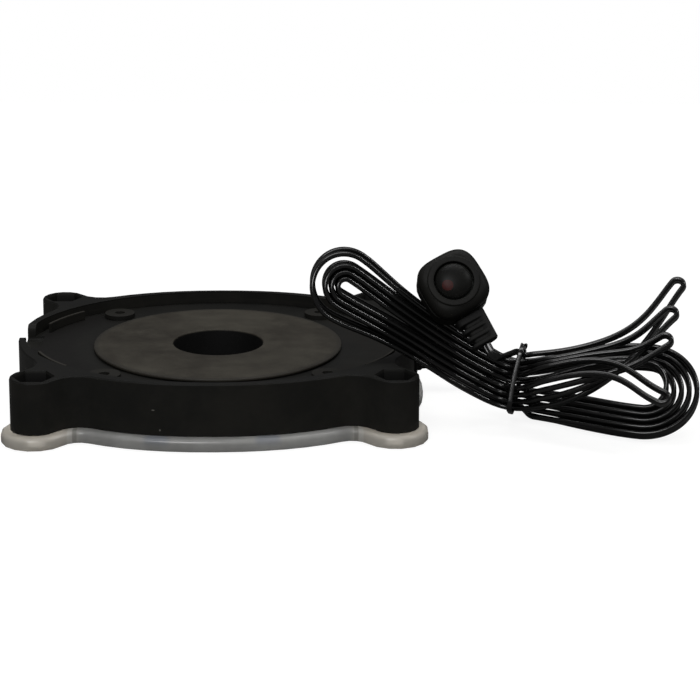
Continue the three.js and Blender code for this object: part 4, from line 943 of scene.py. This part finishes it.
def smokedPlastic():
    # The dome. Colour: near black, a little lighter in clouds; alpha: thinner where the noise is low.
    made = Finish("smoked dome", roughness=0.36, specularIorLevel=0.12)
    cloud = made.noise(160, 3, 0.5)
    made.set("baseColor", made.mix(cloud, tone(16, 16, 15), tone(24, 24, 22)))
    made.set("alpha", 0.76 + cloud * 0.06)
    made.set("roughness", 0.34 + cloud * 0.12)
    return made


def plainFinish(name, low, high, scale, rough, metal=0.0):
    # For the small pieces inside. Colour: noise between two tones; roughness and height from the noise.
    made = Finish(name, metallic=metal, specularIorLevel=0.4)
    speck = made.noise(scale, 4, 0.6)
    made.set("baseColor", made.mix(speck.between(0.35, 0.65), tone(*low), tone(*high)))
    made.set("roughness", rough + speck * 0.2)
    made.bump(speck, 0.02)
    return made


def boardGreen():
    # Circuit board. Colour: green mask with lighter tracks, where a square wave across x or y is high and
    # large clouds of noise let it through.
    made = Finish("green board", roughness=0.4, specularIorLevel=0.4)
    x, y = made.axes()[:2]
    track = (x * 2400).wave().over(0.55).high((y * 2400).wave().over(0.7))
    shown = made.noise(70, 1).between(0.48, 0.52)
    made.set("baseColor", made.mix(track * shown, tone(22, 78, 44), tone(52, 122, 72)))
    made.set("roughness", 0.35 + made.noise(500, 3) * 0.2)
    return made


def litResin():
    # Water-clear diode resin. Colour: pale with a yellowish tone that follows a coarse noise.
    made = Finish("diode resin", roughness=0.12, transmissionWeight=0.7, ior=1.5)
    cloud = made.noise(220, 2)
    made.set("baseColor", made.mix(cloud.between(0.4, 0.6), tone(236, 238, 232), tone(238, 226, 160)))
    made.set("roughness", 0.08 + cloud * 0.1)
    return made


screws = [nodes[n] for n in nodes if "screw" in n]
resistors = [nodes[n] for n in nodes if n.startswith("resistor")]
blackFinish, rubberFinish, cordFinish = mouldedBlack(), rubber(), glossyVinyl()
blackFinish.on(housing, sensorBack, sensorFace)
cloudyGrey().on(coverDisc)
clearLens().on(lens)
cordFinish.on(flatCord, twistedTie, nodes["lead_a"], nodes["lead_b"])
rubberFinish.on(strainRelief, glandBoot, nodes["outer_seal"], nodes["bore_seal"], nodes["sensor_seal"])
smokedPlastic().on(smokedDome)
litResin().on(diodeRing)
boardGreen().on(nodes["led_board"])
plainFinish("dark board", (14, 20, 17), (22, 30, 26), 300, 0.5).on(nodes["sensor_board"])
plainFinish("screw steel", (150, 148, 142), (196, 195, 190), 900, 0.2, 1.0).on(*screws)
plainFinish("red cell", (214, 28, 24), (240, 60, 48), 700, 0.3).on(nodes["photocell"])
plainFinish("tan resistor", (176, 148, 104), (202, 178, 136), 900, 0.4).on(*resistors)
plainFinish("black package", (24, 24, 26), (36, 36, 38), 1200, 0.45).on(nodes["rectifier"])
print("finishes made")


# Floor, background and lamps, with places and sizes in metres

studio = {
    "floor": (-3, 3, -2, 0.9), "floorDrop": 0.00005, "floorTone": (120, 120, 119),
    "floorGlow": 0.88, "fullGlow": (0.35, 0.9), "worldLevel": 0.13,
    "lamps": [
        {"name": "top_box", "place": (0.1, 0.35, 1.5), "aim": (0.05, 0, 0), "size": (1.3, 0.7), "power": 11},
        {"name": "front_box", "place": (-0.35, -1.2, 1.1), "aim": (0.05, 0, 0), "size": (0.6, 0.6),
         "power": 11},
        {"name": "spark", "place": (1.08, -0.28, 1.1), "aim": (0.1, 0, 0), "size": (0.2, 0.2), "power": 3.6},
    ],
}


def makeFloor(spec):
    # A wide pale floor. To the camera, and through the lens, part of its brightness is its own, so that it
    # looks white and still takes the object's shadow; further out all of it is.
    x0, x1, y0, y1 = spec["floor"]
    corners = [(x, y, -spec["floorDrop"]) for x, y in ((x0, y0), (x1, y0), (x1, y1), (x0, y1))]
    mesh = bpy.data.meshes.new("floor")
    mesh.from_pydata(corners, [], [(0, 1, 2, 3)])
    floor = bpy.data.objects.new("floor", mesh)
    bpy.context.scene.collection.objects.link(floor)
    paper = Finish("pale floor", roughness=0.9, specularIorLevel=0.1)
    paper.set("baseColor", tone(*spec["floorTone"]))
    rays = paper.node("ShaderNodeLightPath")
    seen = rays.high(Wire(paper, rays.socket.node.outputs["Is Transmission Ray"]))
    x, y = paper.axes()[:2]
    far = ((x * x + y * y) ** 0.5).between(*spec["fullGlow"])
    own = paper.mix(far, (spec["floorGlow"],) * 3, (1, 1, 1))
    glow = paper.node("ShaderNodeEmission", None, {"Color": paper.mix(seen, (0, 0, 0), own)})
    both = paper.node("ShaderNodeAddShader", None, {0: Wire(paper, paper.shader.outputs[0]), 1: glow})
    paper.tree.links.new(both.socket, paper.tree.nodes["Material Output"].inputs["Surface"])
    paper.on(floor)


def makeWorld(spec):
    # Dim light all round; the camera sees white there.
    world = bpy.data.worlds.new("studio")
    bpy.context.scene.world = world
    world.use_nodes = True
    tree = world.node_tree
    tree.nodes.clear()
    path = tree.nodes.new("ShaderNodeLightPath")
    dim, white = tree.nodes.new("ShaderNodeBackground"), tree.nodes.new("ShaderNodeBackground")
    dim.inputs["Strength"].default_value = spec["worldLevel"]
    dim.inputs["Color"].default_value = (1, 1, 1, 1)
    white.inputs["Color"].default_value = (1, 1, 1, 1)
    blend, out = tree.nodes.new("ShaderNodeMixShader"), tree.nodes.new("ShaderNodeOutputWorld")
    tree.links.new(path.outputs["Is Camera Ray"], blend.inputs[0])
    tree.links.new(dim.outputs[0], blend.inputs[1])
    tree.links.new(white.outputs[0], blend.inputs[2])
    tree.links.new(blend.outputs[0], out.inputs["Surface"])
    bpy.context.scene.view_settings.view_transform = "Standard"


def makeLamp(lamp):
    # A rectangle of light at its place, turned towards its aim, with one side level.
    data = bpy.data.lights.new(lamp["name"], "AREA")
    data.shape = "RECTANGLE"
    data.size, data.size_y = lamp["size"]
    data.energy = lamp["power"]
    made = bpy.data.objects.new(lamp["name"], data)
    bpy.context.scene.collection.objects.link(made)
    place, aim = np.array(lamp["place"]), np.array(lamp["aim"])
    back = unit(place - aim)
    side = unit(np.cross([0, 1, 0.001], back))
    turn = np.column_stack([side, np.cross(back, side), back])
    made.matrix_world = Matrix.Translation(place.tolist()) @ Matrix(turn.tolist()).to_4x4()


makeFloor(studio)
makeWorld(studio)
for lamp in studio["lamps"]:
    makeLamp(lamp)
print("stage and lamps set")
